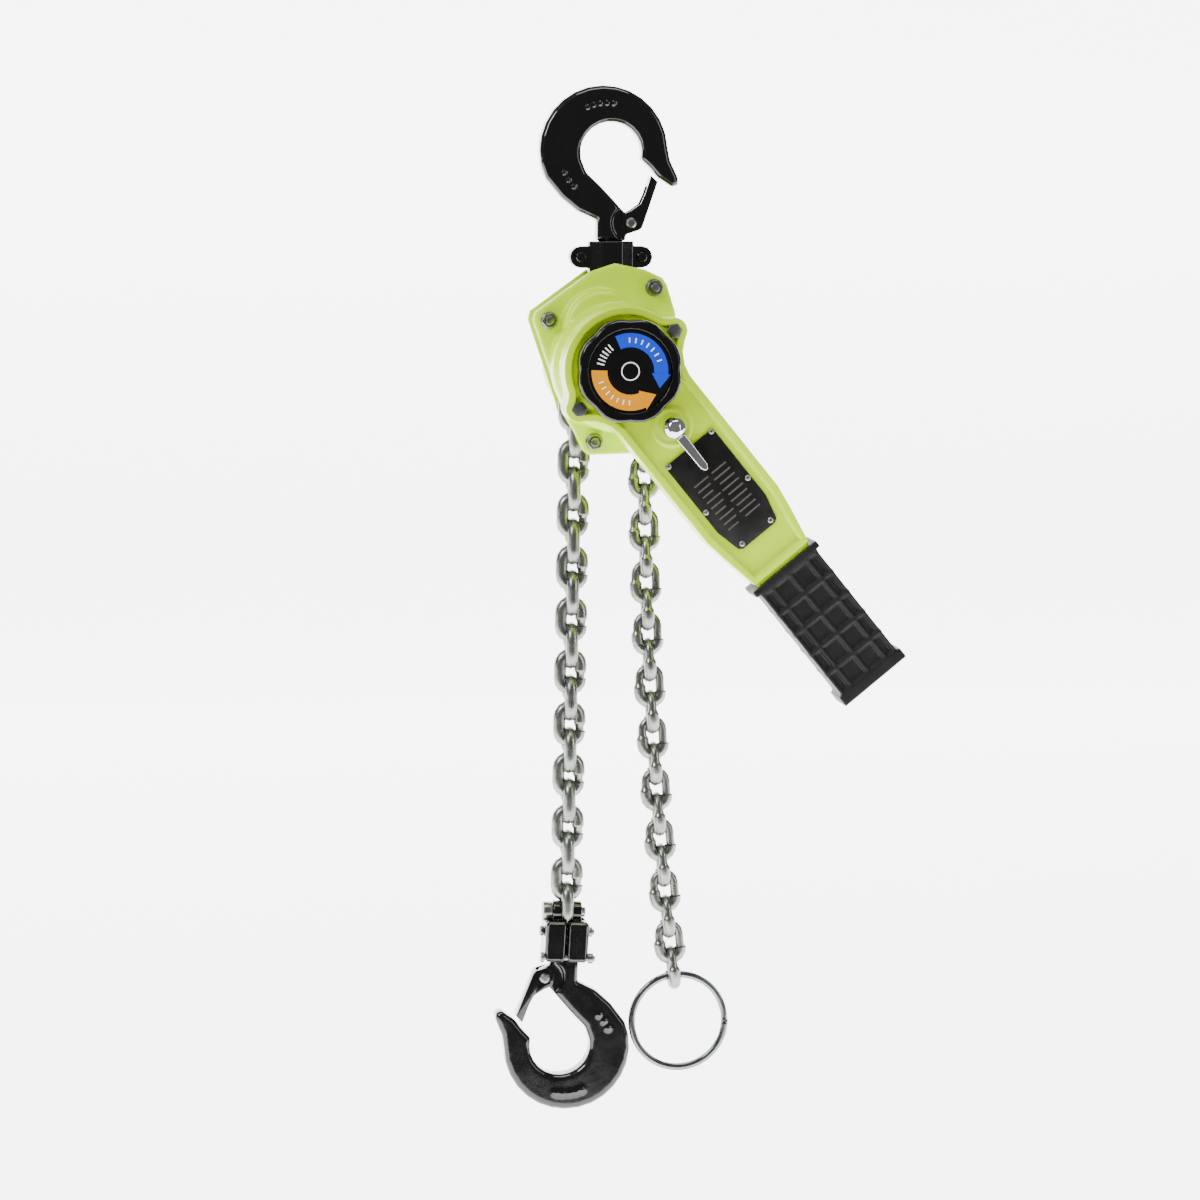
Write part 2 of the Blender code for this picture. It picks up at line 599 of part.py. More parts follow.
# ---- chain guide ----
GUIDE_HALF = PLATE_IN - GAP
guide_outline = from_axis(
    [(-5.0, -30.0), (5.0, -30.0), (8.0, -34.0), (7.0, -57.5), (-7.0, -57.5), (-8.0, -34.0)])
guide = slab("chain_guide", guide_outline, (-GUIDE_HALF, GUIDE_HALF), STEEL)
finger = from_axis([(-4.0, -31.0), (4.0, -31.0), (3.2, -14.5), (-3.2, -14.5)])
join(guide, slab("stripper_finger", finger, (-2.6, 2.6), STEEL))

# ---- bearings ----
for label, side in (("front", 1), ("rear", -1)):
    inner, outer = side * PLATE_IN, side * PLATE_OUT
    low, high = sorted((inner, outer))
    ring_profile = [(BEARING_R, high), (BEARING_R, low), (JOURNAL_R + GAP, low), (JOURNAL_R + GAP, high),
                    (BEARING_R, high)]
    turned("bearing_" + label, ring_profile, STEEL, place=AXIS, steps=24)


# ---- load sheave ----
def make_sheave():
    """Chain sheave: flanges, a groove for the upright links and a drum with four flat seats.

    The drum stays under the flat links all the way round, so it turns freely under the fixed chain.
    """
    end, spline_end = PLATE_OUT, LOAD_GEAR[0] - 0.8
    groove_half = LINK_WIRE_R + GAP
    drum_half = LINK_OUTER + GAP
    groove_r = WRAP_CENTRE_R - LINK_OUTER - RUN
    drum_r = WRAP_CENTRE_R - LINK_WIRE_R - GAP
    front = [(SHEAVE_R, SHEAVE_HALF), (SHEAVE_R, drum_half), (drum_r, drum_half), (drum_r, groove_half),
             (groove_r, groove_half)]
    rear = [(radius, -height) for radius, height in reversed(front)]
    profile = ([(SHAFT_R + RUN, end), (JOURNAL_R, end), (JOURNAL_R, SHEAVE_HALF)] + front + rear
               + [(JOURNAL_R, -SHEAVE_HALF), (JOURNAL_R, -end), (SPLINE_R, -end), (SPLINE_R, spline_end),
                  (SHAFT_R + RUN, spline_end), (SHAFT_R + RUN, end)])
    sheave = turned("load_sheave", profile, STEEL, place=AXIS, steps=24)
    for index in range(SHEAVE_POCKETS):
        turn = empty_at(f"seat_turn_{index}", (0.0, 0.0, -AXIS_DROP), -(WRAP_START + 90.0 * index))
        cut(sheave, box(f"seat_{index}", (drum_r - SEAT_DEPTH, -LINK_OUTER, -CHAIN_PITCH / 2),
                        (drum_r + 3.0, LINK_OUTER, CHAIN_PITCH / 2), None, parent=turn, cutter=True))
    return sheave


make_sheave()


# ---- gears ----
def gear_outline(teeth, phase):
    """Stub involute teeth with backlash, straight between base and tip; one tooth is centred on phase."""
    pitch_r = GEAR_MODULE * teeth / 2
    base_r = pitch_r * math.cos(math.radians(PRESSURE_ANGLE))
    tip_r = pitch_r + ADDENDUM * GEAR_MODULE
    root_r = pitch_r - DEDENDUM * GEAR_MODULE
    involute = math.tan(math.radians(PRESSURE_ANGLE)) - math.radians(PRESSURE_ANGLE)
    half = math.pi / (2 * teeth) - BACKLASH / 2 / pitch_r
    start_r = max(base_r, root_r + 0.05)
    flank = []
    for share in (0.0, 1.0):
        radius = start_r + (tip_r - start_r) * share
        angle = math.acos(min(1.0, base_r / radius))
        flank.append((radius, half + involute - (math.tan(angle) - angle)))
    outline = []
    for tooth in range(teeth):
        centre = math.radians(phase) + 2 * math.pi * tooth / teeth
        side = [(root_r, flank[0][1] + 0.03)] + flank
        for radius, offset in side:
            outline.append((radius * math.cos(centre - offset), radius * math.sin(centre - offset)))
        for radius, offset in reversed(side):
            outline.append((radius * math.cos(centre + offset), radius * math.sin(centre + offset)))
    return outline


def moved(points, place):
    return [(x + place[0], z + place[1]) for x, z in points]


HALF_WHEEL_TOOTH = 180.0 / WHEEL_TEETH
HALF_PINION_TOOTH = 180.0 / PINION_TEETH
load_gear = slab("load_gear", moved(gear_outline(WHEEL_TEETH, 0.0), AXIS), LOAD_GEAR, STEEL)
drill(load_gear, AXIS, SPLINE_R + GAP, (LOAD_GEAR[0] - 2.0, LOAD_GEAR[1] + 2.0))
for label, place in IDLER_PLACES.items():
    wheel = slab("idler_gear_" + label, moved(gear_outline(WHEEL_TEETH, HALF_WHEEL_TOOTH), place),
                 IDLER_WHEEL, STEEL)
    small = slab("idler_pinion_" + label, moved(gear_outline(PINION_TEETH, HALF_PINION_TOOTH), place),
                 (IDLER_WHEEL[1] - 0.5, LOAD_GEAR[1]), STEEL)
    journal = rod("idler_journal_" + label, IDLER_JOURNAL_R, (IDLER_WHEEL[0] - 7.0, -PLATE_IN - 0.4),
                  STEEL, place=place, steps=16)
    join(wheel, small, journal)

# ---- pinion shaft ----
SHAFT_FRONT = WHEEL_BACK + 4.0
shaft = rod("pinion_shaft", SHAFT_R, (IDLER_WHEEL[0] - 1.0, SHAFT_FRONT), STEEL, place=AXIS)
join(shaft, slab("shaft_pinion", moved(gear_outline(PINION_TEETH, 0.0), AXIS), IDLER_WHEEL, STEEL),
     rod("shaft_tail", IDLER_JOURNAL_R, (IDLER_WHEEL[0] - 7.0, IDLER_WHEEL[0]), STEEL, place=AXIS, steps=16))

# ---- brake: hub, friction discs, ratchet disc and pawls ----
BORE_R = SHAFT_R + GAP
hub_end = OUTER_DISC[1] - 0.2
turned("brake_hub", [(BORE_R, hub_end), (HUB_R, hub_end), (HUB_R, HUB_DISC[1]), (DISC_R, HUB_DISC[1]),
                     (DISC_R, HUB_DISC[0]), (BORE_R, HUB_DISC[0]), (BORE_R, hub_end)],
       STEEL, place=AXIS, steps=24)
for name, span in (("friction_disc_inner", INNER_DISC), ("friction_disc_outer", OUTER_DISC)):
    turned(name, [(DISC_R, span[1]), (DISC_R, span[0]), (HUB_R + GAP, span[0]), (HUB_R + GAP, span[1]),
                  (DISC_R, span[1])], FRICTION, place=AXIS, steps=24)

PAWL_TIP_ANGLE = PAWL_PIVOT_ANGLE - PAWL_REACH
TOOTH_STEP = 360.0 / RATCHET_TEETH
ratchet_outline = []
for tooth in range(RATCHET_TEETH):
    root_angle = PAWL_TIP_ANGLE + TOOTH_STEP * tooth
    ratchet_outline.append(polar(RATCHET_ROOT_R, root_angle))
    ratchet_outline.append(polar((RATCHET_ROOT_R + RATCHET_TIP_R) / 2, root_angle + TOOTH_STEP * 0.5))
    ratchet_outline.append(polar(RATCHET_TIP_R, root_angle + TOOTH_STEP - 1.0))
ratchet = slab("ratchet_disc", moved(ratchet_outline, AXIS), RATCHET, STEEL)
drill(ratchet, AXIS, HUB_R + GAP, (RATCHET[0] - 2.0, RATCHET[1] + 2.0), steps=32)

for index, label in ((0, "upper"), (1, "lower")):
    tip = PAWL_TIP_ANGLE + 180.0 * index
    pawl_outline = [polar(RATCHET_ROOT_R + 0.8, tip + 1.4), polar(RATCHET_ROOT_R + 1.4, tip + 6.0),
                    polar(PAWL_PIVOT_R - 4.0, tip + PAWL_REACH - 2.0),
                    polar(PAWL_PIVOT_R + 2.6, tip + PAWL_REACH - 4.0),
                    polar(RATCHET_TIP_R + 2.0, tip + 1.4)]
    pawl = slab("brake_pawl_" + label, moved(pawl_outline, AXIS), RATCHET, STEEL)
    join(pawl, rod("pawl_boss_" + label, PAWL_BOSS_R, RATCHET, STEEL, place=pawl_pivot(index), steps=16))
    drill(pawl, pawl_pivot(index), PAWL_STUD_R + GAP, (RATCHET[0] - 2.0, RATCHET[1] + 2.0), steps=12)

# ---- drive cog ----
cog_outline = []
for tooth in range(COG_TEETH):
    centre = -LEVER_ANGLE + 360.0 / COG_TEETH * tooth
    cog_outline += [polar(COG_ROOT_R, centre - 8.0), polar(COG_TIP_R, centre - 5.5),
                    polar(COG_TIP_R, centre + 5.5), polar(COG_ROOT_R, centre + 8.0)]
cog = turned("drive_cog", [(BORE_R, WHEEL_BACK + 3.0), (COG_NOSE_R, WHEEL_BACK + 3.0),
                           (COG_NOSE_R, COG[1] - 1.0), (COG_NECK_R, COG[1] - 1.0),
                           (COG_NECK_R, COG_FLANGE[1]), (DISC_R, COG_FLANGE[1]),
                           (DISC_R, COG_FLANGE[0]), (BORE_R, COG_FLANGE[0]),
                           (BORE_R, WHEEL_BACK + 3.0)], STEEL, place=AXIS, steps=24)
teeth_ring = slab("cog_teeth", moved(cog_outline, AXIS), COG, STEEL)
drill(teeth_ring, AXIS, COG_NECK_R - 2.0, (COG[0] - 2.0, COG[1] + 2.0))
join(cog, teeth_ring)

# ---- handwheel and dial ----
wheel_outline = []
for step in range(6 * WHEEL_LOBES):
    angle = 60.0 * step / WHEEL_LOBES
    wave = 0.5 + 0.5 * math.cos(math.radians(WHEEL_LOBES * angle))
    wheel_outline.append(polar(WHEEL_R - WHEEL_LOBE_DEPTH * wave ** 2, angle))
handwheel = slab("handwheel", moved(wheel_outline, AXIS), (WHEEL_BACK, WHEEL_FRONT), BLACK, edge=1.5)
drill(handwheel, AXIS, DIAL_R + GAP, (DIAL[0] - GAP, WHEEL_FRONT + 2.0), steps=32)
drill(handwheel, AXIS, COG_NOSE_R + GAP, (WHEEL_BACK - 2.0, WHEEL_BACK + 3.0 + GAP))
drill(handwheel, AXIS, SHAFT_R + GAP, (WHEEL_BACK - 2.0, DIAL[0]))
rod("dial_plate", DIAL_R, DIAL, DARK_PLATE, place=AXIS, steps=32)

# ---- lever: two pressed shells, bolts, grip, nameplate ----
lever_origin = empty_at("lever_axis", (0.0, 0.0, -AXIS_DROP), LEVER_ANGLE)


def mirrored(half):
    """A whole outline from its upper half, which runs from the tail to the tip."""
    return half + [(x, -y) for x, y in reversed(half)]


def lever_outline(inset):
    head = arc(0.0, 0.0, LEVER_HEAD_R - inset, 175.0, 107.0, 6)
    lobe = arc(0.0, LEVER_BOLT_AT, LEVER_LOBE_R - inset, 160.0, 20.0, 7)
    arm = LEVER_HALF - inset
    grip_half = GRIP_HALF - GRIP_WALL - GAP - inset
    neck = [(14.0 - inset, 37.0 - inset), (22.0, arm + 1.8), (LEVER_NECK_AT, arm)]
    shoulder = [(LEVER_TAPER_AT, arm), (LEVER_TAPER_AT + 16.0, arm - 2.4), (GRIP_START - 3.0, arm - 7.2),
                (GRIP_START + 2.0, grip_half), (GRIP_END - 8.0 - inset, grip_half)]
    return mirrored(head + lobe + neck + shoulder)


def make_lever_shell(name, span, pocket, hole_r, hole_span):
    shell = slab(name, lever_outline(0.0), span, LIME, lever_origin)
    cut(shell, slab(name + "_pocket", lever_outline(LEVER_WALL), pocket, None, lever_origin, cutter=True))
    for across in (-LEVER_BOLT_AT, LEVER_BOLT_AT):
        low = pocket[0] - 0.5 if pocket[0] > span[0] else span[0]
        high = pocket[1] + 0.5 if pocket[1] < span[1] else span[1]
        post = rod(f"{name}_post_{across:.0f}", LEVER_BOLT_R + 2.6, (low, high), LIME,
                   place=(0.0, across), parent=lever_origin, steps=16)
        join(shell, post)
        drill(shell, (0.0, across), LEVER_BOLT_R + GAP, (LEVER_BACK - 5.0, LEVER_FRONT + 5.0), lever_origin,
              16)
    drill(shell, (0.0, 0.0), hole_r, hole_span, lever_origin, 32)
    return shell


make_lever_shell("lever_rear_shell", (LEVER_BACK, LEVER_SPLIT - GAP / 2),
                 (LEVER_BACK + LEVER_WALL, LEVER_SPLIT + CUT_OVER), COG_NECK_R + RUN,
                 (LEVER_BACK - CUT_OVER, LEVER_SPLIT))
front_shell = make_lever_shell("lever_front_shell", (LEVER_SPLIT + GAP / 2, LEVER_FRONT),
                               (LEVER_SPLIT - CUT_OVER, LEVER_FRONT - LEVER_WALL), COG_NOSE_R + RUN,
                               (LEVER_SPLIT, LEVER_FRONT + CUT_OVER))
drill(front_shell, (SELECTOR_AT, 0.0), SELECTOR_SHAFT_R + GAP, (LEVER_SPLIT, LEVER_FRONT + 2.0),
      lever_origin)

for label, across in (("upper", LEVER_BOLT_AT), ("lower", -LEVER_BOLT_AT)):
    head_seat, nut_seat = LEVER_FRONT + GAP, LEVER_BACK - GAP
    bolt = slab("lever_bolt_" + label, hexagon(0.0, across, LEVER_BOLT_HEAD_R),
                (head_seat, head_seat + 3.4), ZINC, lever_origin)
    join(bolt, rod("bolt_shank_" + label, LEVER_BOLT_R, (nut_seat - 2.4, head_seat + 0.5), ZINC,
                   place=(0.0, across), parent=lever_origin, steps=16),
         rod("bolt_swage_" + label, LEVER_BOLT_R + 1.8, (nut_seat - 2.4, nut_seat), ZINC,
             place=(0.0, across), parent=lever_origin, steps=16))

grip_half_t = LEVER_T / 2 + GRIP_WALL
grip_mid = LEVER_SPLIT
grip_outline = mirrored([(GRIP_START, GRIP_HALF + GRIP_FLANGE), (GRIP_START + 5.0, GRIP_HALF + GRIP_FLANGE),
                         (GRIP_START + 7.5, GRIP_HALF + 1.6), (GRIP_START + 15.0, GRIP_HALF),
                         (GRIP_END - 9.5, GRIP_HALF), (GRIP_END - 8.5, GRIP_HALF + 0.8),
                         (GRIP_END - 1.5, GRIP_HALF + 0.8), (GRIP_END, GRIP_HALF - 1.0)])
grip = slab("grip", grip_outline, (grip_mid - grip_half_t, grip_mid + grip_half_t), RUBBER, lever_origin,
            edge=2.0)
socket_half = GRIP_HALF - GRIP_WALL
mouth_half = LEVER_HALF - 6.0
socket_outline = mirrored([(GRIP_START - 5.0, mouth_half), (GRIP_START - 2.0, mouth_half),
                           (GRIP_START + 3.5, socket_half), (GRIP_END - 8.0 + GAP, socket_half)])
cut(grip, slab("grip_socket", socket_outline, (LEVER_BACK - GAP, LEVER_FRONT + GAP), None, lever_origin,
               cutter=True))

plate_start, plate_end, plate_half, plate_far = NAMEPLATE
nameplate_outline = mirrored([(plate_start, plate_half - 3.0), (plate_start + 3.0, plate_half),
                              (plate_end - 19.0, plate_half), (plate_end - 2.0, plate_far + 0.6),
                              (plate_end, plate_far - 2.0)])
nameplate = slab("nameplate", nameplate_outline, (LEVER_FRONT + GAP, LEVER_FRONT + GAP + NAMEPLATE_T),
                 DARK_PLATE, lever_origin)

# ---- selector knob and change pawl ----
selector_origin = empty_at("selector_axis", (SELECTOR_AT, 0.0, 0.0))
selector_origin.parent = lever_origin
shaft_end = COG[0] + 0.4
knob_seat = LEVER_FRONT + 1.6
ball_centre = LEVER_FRONT + 9.5
ball_points = arc(0.0, ball_centre, BALL_R, 90.0, -45.0, 8)
ball_points[0] = (0.0, ball_centre + BALL_R)
knob_profile = ball_points + [(6.0, knob_seat), (SELECTOR_SHAFT_R, knob_seat),
                              (SELECTOR_SHAFT_R, shaft_end), (0.0, shaft_end)]
knob = turned("selector_knob", knob_profile, CHROME, parent=selector_origin, steps=20)
stem = [(0.0, 3.6), (0.0, -3.6), (SELECTOR_REACH - 3.0, -2.8), (SELECTOR_REACH, -1.2),
        (SELECTOR_REACH, 1.2), (SELECTOR_REACH - 3.0, 2.8)]
join(knob, slab("selector_stem", stem, (knob_seat, knob_seat + 3.0), CHROME, selector_origin))

pawl_span = (COG[0] + 0.4, COG[1] - 0.4)
change_pawl = rod("change_pawl", 8.0, pawl_span, STEEL, parent=selector_origin, steps=20)
for side in (-1, 1):
    reach = []
    for share, half_width in ((0.0, 4.0), (0.75, 2.4), (1.0, 1.4)):
        reach.append((share * PAWL_ARM, half_width))
    turn = math.radians(180.0 + side * PAWL_ARM_ANGLE)
    arm = [(x * math.cos(turn) - y * math.sin(turn), x * math.sin(turn) + y * math.cos(turn))
           for x, y in mirrored(reach)]
    join(change_pawl, slab(f"change_pawl_arm_{side}", arm, pawl_span, STEEL, selector_origin))
drill(change_pawl, (0.0, 0.0), SELECTOR_SHAFT_R + GAP, (COG[0] - 2.0, COG[1] + 2.0), selector_origin)


# ---- chain ----
def link_mesh(name):
    """An eight-sided link in its own XZ plane, straight sides along Z."""
    bpy.ops.mesh.primitive_torus_add(major_radius=LINK_HALF_W / math.cos(math.pi / 8) * MM,
                                     minor_radius=LINK_WIRE_R * MM, major_segments=8, minor_segments=4)
    torus = bpy.context.object
    mesh = torus.data.copy()
    mesh.name = name
    bpy.data.objects.remove(torus, do_unlink=True)
    mesh.transform(Matrix.Rotation(math.pi / 8, 4, "Z"))
    mesh.transform(Matrix.Rotation(math.pi / 2, 4, "X"))
    stretch = (CHAIN_PITCH + CHAIN_WIRE) / 2 - LINK_HALF_W
    for vertex in mesh.vertices:
        vertex.co.z += math.copysign(stretch * MM, vertex.co.z)
    return mesh


LINK = link_mesh("link")


def run_of_links(name, links, mat=ZINC):
    """One piece of chain: links (x, z, lean in degrees, upright) joined where they bite."""
    halves = []
    for parity in (0, 1):
        work = bmesh.new()
        for x, z, lean, upright in links[parity::2]:
            copy = LINK.copy()
            if not upright:
                copy.transform(Matrix.Rotation(math.pi / 2, 4, "Z"))
            copy.transform(Matrix.Rotation(math.radians(lean), 4, "Y"))
            copy.transform(Matrix.Translation((x * MM, 0.0, z * MM)))
            work.from_mesh(copy)
            bpy.data.meshes.remove(copy)
        mesh = bpy.data.meshes.new(name)
        work.to_mesh(mesh)
        work.free()
        halves.append(mesh)
    run = add_object(name, halves[0], mat)
    return join(run, add_object(name + "_others", halves[1], mat))


def walk(start, leans, first_step):
    """Centres of links that hang from a start point: (x, z, lean) each, STRAND_STEP apart."""
    x, z = start
    step = first_step
    centres = []
    for lean in leans:
        x, z = x - math.sin(math.radians(lean)) * step, z - math.cos(math.radians(lean)) * step
        centres.append((x, z, lean))
        step = STRAND_STEP
    return centres


def free_lean(number):
    return -FREE_CURL * max(0, number - FREE_PLUMB_LINKS)


def contact(angle, shift=0.0):
    """Where two wrapped links bite, at an angle above +X round the drive axis."""
    x, z = polar(WRAP_CONTACT_R, angle)
    return x + shift, z - AXIS_DROP


# The links on the sheave, with the load strand's first link and the free strand's first two,
# which still lie between the sheave's teeth.
left_start = contact(WRAP_START + 45.0 * WRAP_LINKS - 22.5, -LEAD_SHIFT)
right_start = contact(WRAP_START - 22.5)
load_lead = walk(left_start, [LEAD_LEAN], CHAIN_PITCH / 2)
free_leads = walk(right_start, [free_lean(number) for number in range(FREE_LEADS)], CHAIN_PITCH / 2)
wrapped = []
for index in range(WRAP_LINKS):
    angle = WRAP_START + 45.0 * index
    x, z = polar(WRAP_CENTRE_R, angle)
    wrapped.append((x, z - AXIS_DROP, -angle))
on_sheave = list(reversed(free_leads)) + wrapped + load_lead
run_of_links("chain_on_sheave", [(x, z, lean, (place - FREE_LEADS) % 2 == 1)
                                 for place, (x, z, lean) in enumerate(on_sheave)])


def hang_strand(names, runs, last, leans, upright_first):
    """Hang the pieces of a strand below the last link of the piece above; returns the end link."""
    number = 0
    for name, count in zip(names, runs):
        centres = walk(last[:2], leans[number:number + count], STRAND_BREAK)
        run_of_links(name, [(*centre, ((number + place) % 2 == 0) == upright_first)
                            for place, centre in enumerate(centres)])
        number += count
        last = centres[-1]
    return last


load_end = hang_strand(("load_chain_upper", "load_chain_middle", "load_chain_lower"), LOAD_RUNS,
                       load_lead[-1], [LOAD_LEAN] * sum(LOAD_RUNS), True)
free_end = hang_strand(("free_chain_upper", "free_chain_middle", "free_chain_lower"), FREE_RUNS,
                       free_leads[-1],
                       [free_lean(FREE_LEADS + number) for number in range(sum(FREE_RUNS))], True)


def below(end, distance):
    """The point at a distance down a link's own line."""
    x, z, lean = end
    return x - math.sin(math.radians(lean)) * distance, z - math.cos(math.radians(lean)) * distance


# ---- pull ring ----
LINK_BIGHT = (CHAIN_PITCH + CHAIN_WIRE) / 2 - LINK_WIRE_R
ring_x, ring_z = below(free_end, LINK_BIGHT - RING_WIRE_R - GAP + RING_R)
bpy.ops.mesh.primitive_torus_add(major_radius=RING_R * MM, minor_radius=RING_WIRE_R * MM,
                                 major_segments=30, minor_segments=6)
ring_blank = bpy.context.object
pull_ring = add_object("pull_ring", ring_blank.data.copy(), CHROME)
bpy.data.objects.remove(ring_blank, do_unlink=True)
facing_front(pull_ring)
pull_ring.location = (ring_x * MM, 0.0, ring_z * MM)

# ---- load block ----
pin_x, pin_z = below(load_end, LINK_BIGHT - CHAIN_PIN_R - GAP)
block_origin = empty_at("chain_pin_centre", (pin_x, 0.0, pin_z), BLOCK_TILT)
BUTTON_TOP = -HOOK_FALL + HOOK_BUTTON_AT + HOOK_BUTTON_T
BUTTON_END = -HOOK_FALL + HOOK_BUTTON_AT
BLOCK_END = -HOOK_FALL + HOOK_COLLAR_END + 0.4
CHEEK_IN = LINK_WIRE_R + RUN
BOLT_NUT_T = 3.4


def make_block_half(name, side):
    """Half of the forged load block; side -1 is the left half, split on the hook's axis."""
    def across(a, b):
        return sorted((side * a, side * b))

    low_x, high_x = across(GAP / 2, BLOCK_HALF_X)
    half = box(name, (low_x, -BLOCK_HALF_Y, BLOCK_END), (high_x, BLOCK_HALF_Y, -BLOCK_TOP), BLACK,
               block_origin)
    half_bevel = half.modifiers.new("edge", "BEVEL")
    half_bevel.width = 2.0 * MM
    half_bevel.segments = 1
    lobe_span = across(1.0, 10.0)
    join(half, rod(name + "_lobe", LOBE_R, lobe_span, BLACK, parent=block_origin, axis="X"))
    cut(half, rod(name + "_button", HOOK_BUTTON_R + GAP, (BUTTON_END - GAP, BUTTON_TOP + GAP), None,
                  parent=block_origin, cutter=True, axis="Z", steps=24),
        rod(name + "_neck", HOOK_NECK_R + GAP, (BLOCK_END - 2.0, BUTTON_END), None,
            parent=block_origin, cutter=True, axis="Z"),
        rod(name + "_counterbore", PIN_HEAD_R + RUN, across(10.0, 30.0), None, parent=block_origin,
            cutter=True, axis="X"),
        rod(name + "_pin_bore", CHAIN_PIN_R + GAP, (-30.0, 30.0), None, parent=block_origin,
            cutter=True, axis="X", steps=16),
        box(name + "_slot", (-CHEEK_IN, -LINK_OUTER - RUN, -CHAIN_WIRE - CHAIN_PIN_R - 2.0),
            (CHEEK_IN, LINK_OUTER + RUN, LOBE_R + 3.0), None, block_origin, cutter=True))
    for number, (z, front) in enumerate(BLOCK_BOLTS):
        hole = rod(f"{name}_bolt_hole_{number}", BLOCK_BOLT_R + GAP, (-40.0, 40.0), None,
                   parent=block_origin, cutter=True, axis="X", steps=12)
        hole.location = (0.0, -front * MM, z * MM)
        cut(half, hole)
    return half


make_block_half("load_block_left", -1)
make_block_half("load_block_right", 1)
pin_profile = [(0.0, 13.0), (CHAIN_PIN_R, 13.0), (CHAIN_PIN_R, -10.0 - GAP),
               (PIN_HEAD_R, -10.0 - GAP), (PIN_HEAD_R, -16.5), (0.0, -16.5)]
turned("chain_pin", pin_profile, ZINC, parent=block_origin, axis="X", steps=12)
for number, (z, front) in enumerate(BLOCK_BOLTS):
    seat = BLOCK_HALF_X + GAP
    bolt_profile = [(0.0, seat + BOLT_NUT_T + 1.5), (BLOCK_BOLT_R, seat + BOLT_NUT_T + 1.5),
                    (BLOCK_BOLT_R, seat + BOLT_NUT_T), (BLOCK_BOLT_R + 1.6, seat + BOLT_NUT_T),
                    (BLOCK_BOLT_R + 1.6, seat), (BLOCK_BOLT_R, seat), (BLOCK_BOLT_R, -seat),
                    (BLOCK_BOLT_R + 1.6, -seat), (BLOCK_BOLT_R + 1.6, -seat - 2.4), (0.0, -seat - 2.4)]
    block_bolt = turned(f"block_bolt_{'upper' if number == 0 else 'lower'}", bolt_profile, ZINC,
                        parent=block_origin, axis="X", steps=12)
    block_bolt.location = (0.0, -front * MM, z * MM)

# ---- load hook: the top hook turned over, hanging below the block ----
load_origin = empty_at("load_hook_saddle", (0.0, 0.0, -HOOK_FALL), 180.0)
load_origin.parent = block_origin
make_hook("load_hook", load_origin)
make_latch("load_latch", load_origin)
make_latch_rivet("load_latch_rivet", load_origin)

# ---- shading ----
for obj in HOIST.objects:
    if obj.type == "MESH":
        obj.data.shade_smooth()
        obj.data.set_sharp_from_angle(angle=math.radians(35.0))
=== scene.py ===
import json
import math
import bmesh
import bpy
from mathutils import Matrix, Vector


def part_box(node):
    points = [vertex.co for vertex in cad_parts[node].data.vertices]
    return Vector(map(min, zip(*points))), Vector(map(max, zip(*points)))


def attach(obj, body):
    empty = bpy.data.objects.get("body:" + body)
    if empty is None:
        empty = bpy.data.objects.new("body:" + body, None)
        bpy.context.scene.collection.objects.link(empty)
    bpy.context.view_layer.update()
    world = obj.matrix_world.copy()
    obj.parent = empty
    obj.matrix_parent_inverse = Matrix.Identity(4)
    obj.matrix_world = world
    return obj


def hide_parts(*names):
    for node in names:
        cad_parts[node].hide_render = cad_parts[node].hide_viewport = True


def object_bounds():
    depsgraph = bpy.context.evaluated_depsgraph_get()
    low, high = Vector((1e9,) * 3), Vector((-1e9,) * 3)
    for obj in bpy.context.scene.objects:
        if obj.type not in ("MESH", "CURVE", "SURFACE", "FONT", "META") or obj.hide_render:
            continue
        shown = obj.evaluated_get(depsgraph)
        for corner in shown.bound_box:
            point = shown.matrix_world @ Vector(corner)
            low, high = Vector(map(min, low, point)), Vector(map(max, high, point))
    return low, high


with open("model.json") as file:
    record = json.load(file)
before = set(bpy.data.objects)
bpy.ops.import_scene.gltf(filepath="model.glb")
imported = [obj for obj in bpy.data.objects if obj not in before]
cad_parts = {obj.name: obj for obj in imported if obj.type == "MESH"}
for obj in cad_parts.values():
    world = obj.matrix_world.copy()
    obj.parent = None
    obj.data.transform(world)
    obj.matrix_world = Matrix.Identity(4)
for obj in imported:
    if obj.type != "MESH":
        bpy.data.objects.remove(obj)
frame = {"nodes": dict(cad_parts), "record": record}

cad_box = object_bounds()

# ---- Studio ----
# A pale paper sweep that runs from the floor up behind the hoist, lit by broad soft boxes.
# The camera stands a little to the left of the hoist and a little above its middle.
scene = bpy.context.scene
CAMERA_TARGET = Vector((-0.007, 0.0, -0.3253))
CAMERA_AWAY, CAMERA_LEFT, CAMERA_UP = 2.6, math.radians(8.5), math.radians(6.5)
camera = bpy.data.objects.new("camera", bpy.data.cameras.new("camera"))
camera.data.sensor_width, camera.data.lens = 36.0, 113.8
camera.location = CAMERA_TARGET + CAMERA_AWAY * Vector((-math.sin(CAMERA_LEFT) * math.cos(CAMERA_UP),
                                                        -math.cos(CAMERA_LEFT) * math.cos(CAMERA_UP),
                                                        math.sin(CAMERA_UP)))
camera.rotation_euler = (CAMERA_TARGET - camera.location).to_track_quat("-Z", "Y").to_euler()
scene.collection.objects.link(camera)
scene.camera = camera


def linear(hex_colour):
    """An sRGB hex colour as linear RGBA."""
    parts = [int(hex_colour[place:place + 2], 16) / 255 for place in (1, 3, 5)]
    return tuple(c / 12.92 if c <= 0.04045 else ((c + 0.055) / 1.055) ** 2.4 for c in parts) + (1.0,)


def add(material, kind, feeds, **settings):
    """Adds a node to a material: feeds are socket names with a value or another node's output."""
    node = material.node_tree.nodes.new(kind)
    for name, value in settings.items():
        setattr(node, name, value)
    for socket, value in feeds.items():
        if isinstance(value, bpy.types.NodeSocket):
            material.node_tree.links.new(value, node.inputs[socket])
        else:
            node.inputs[socket].default_value = value
    return node


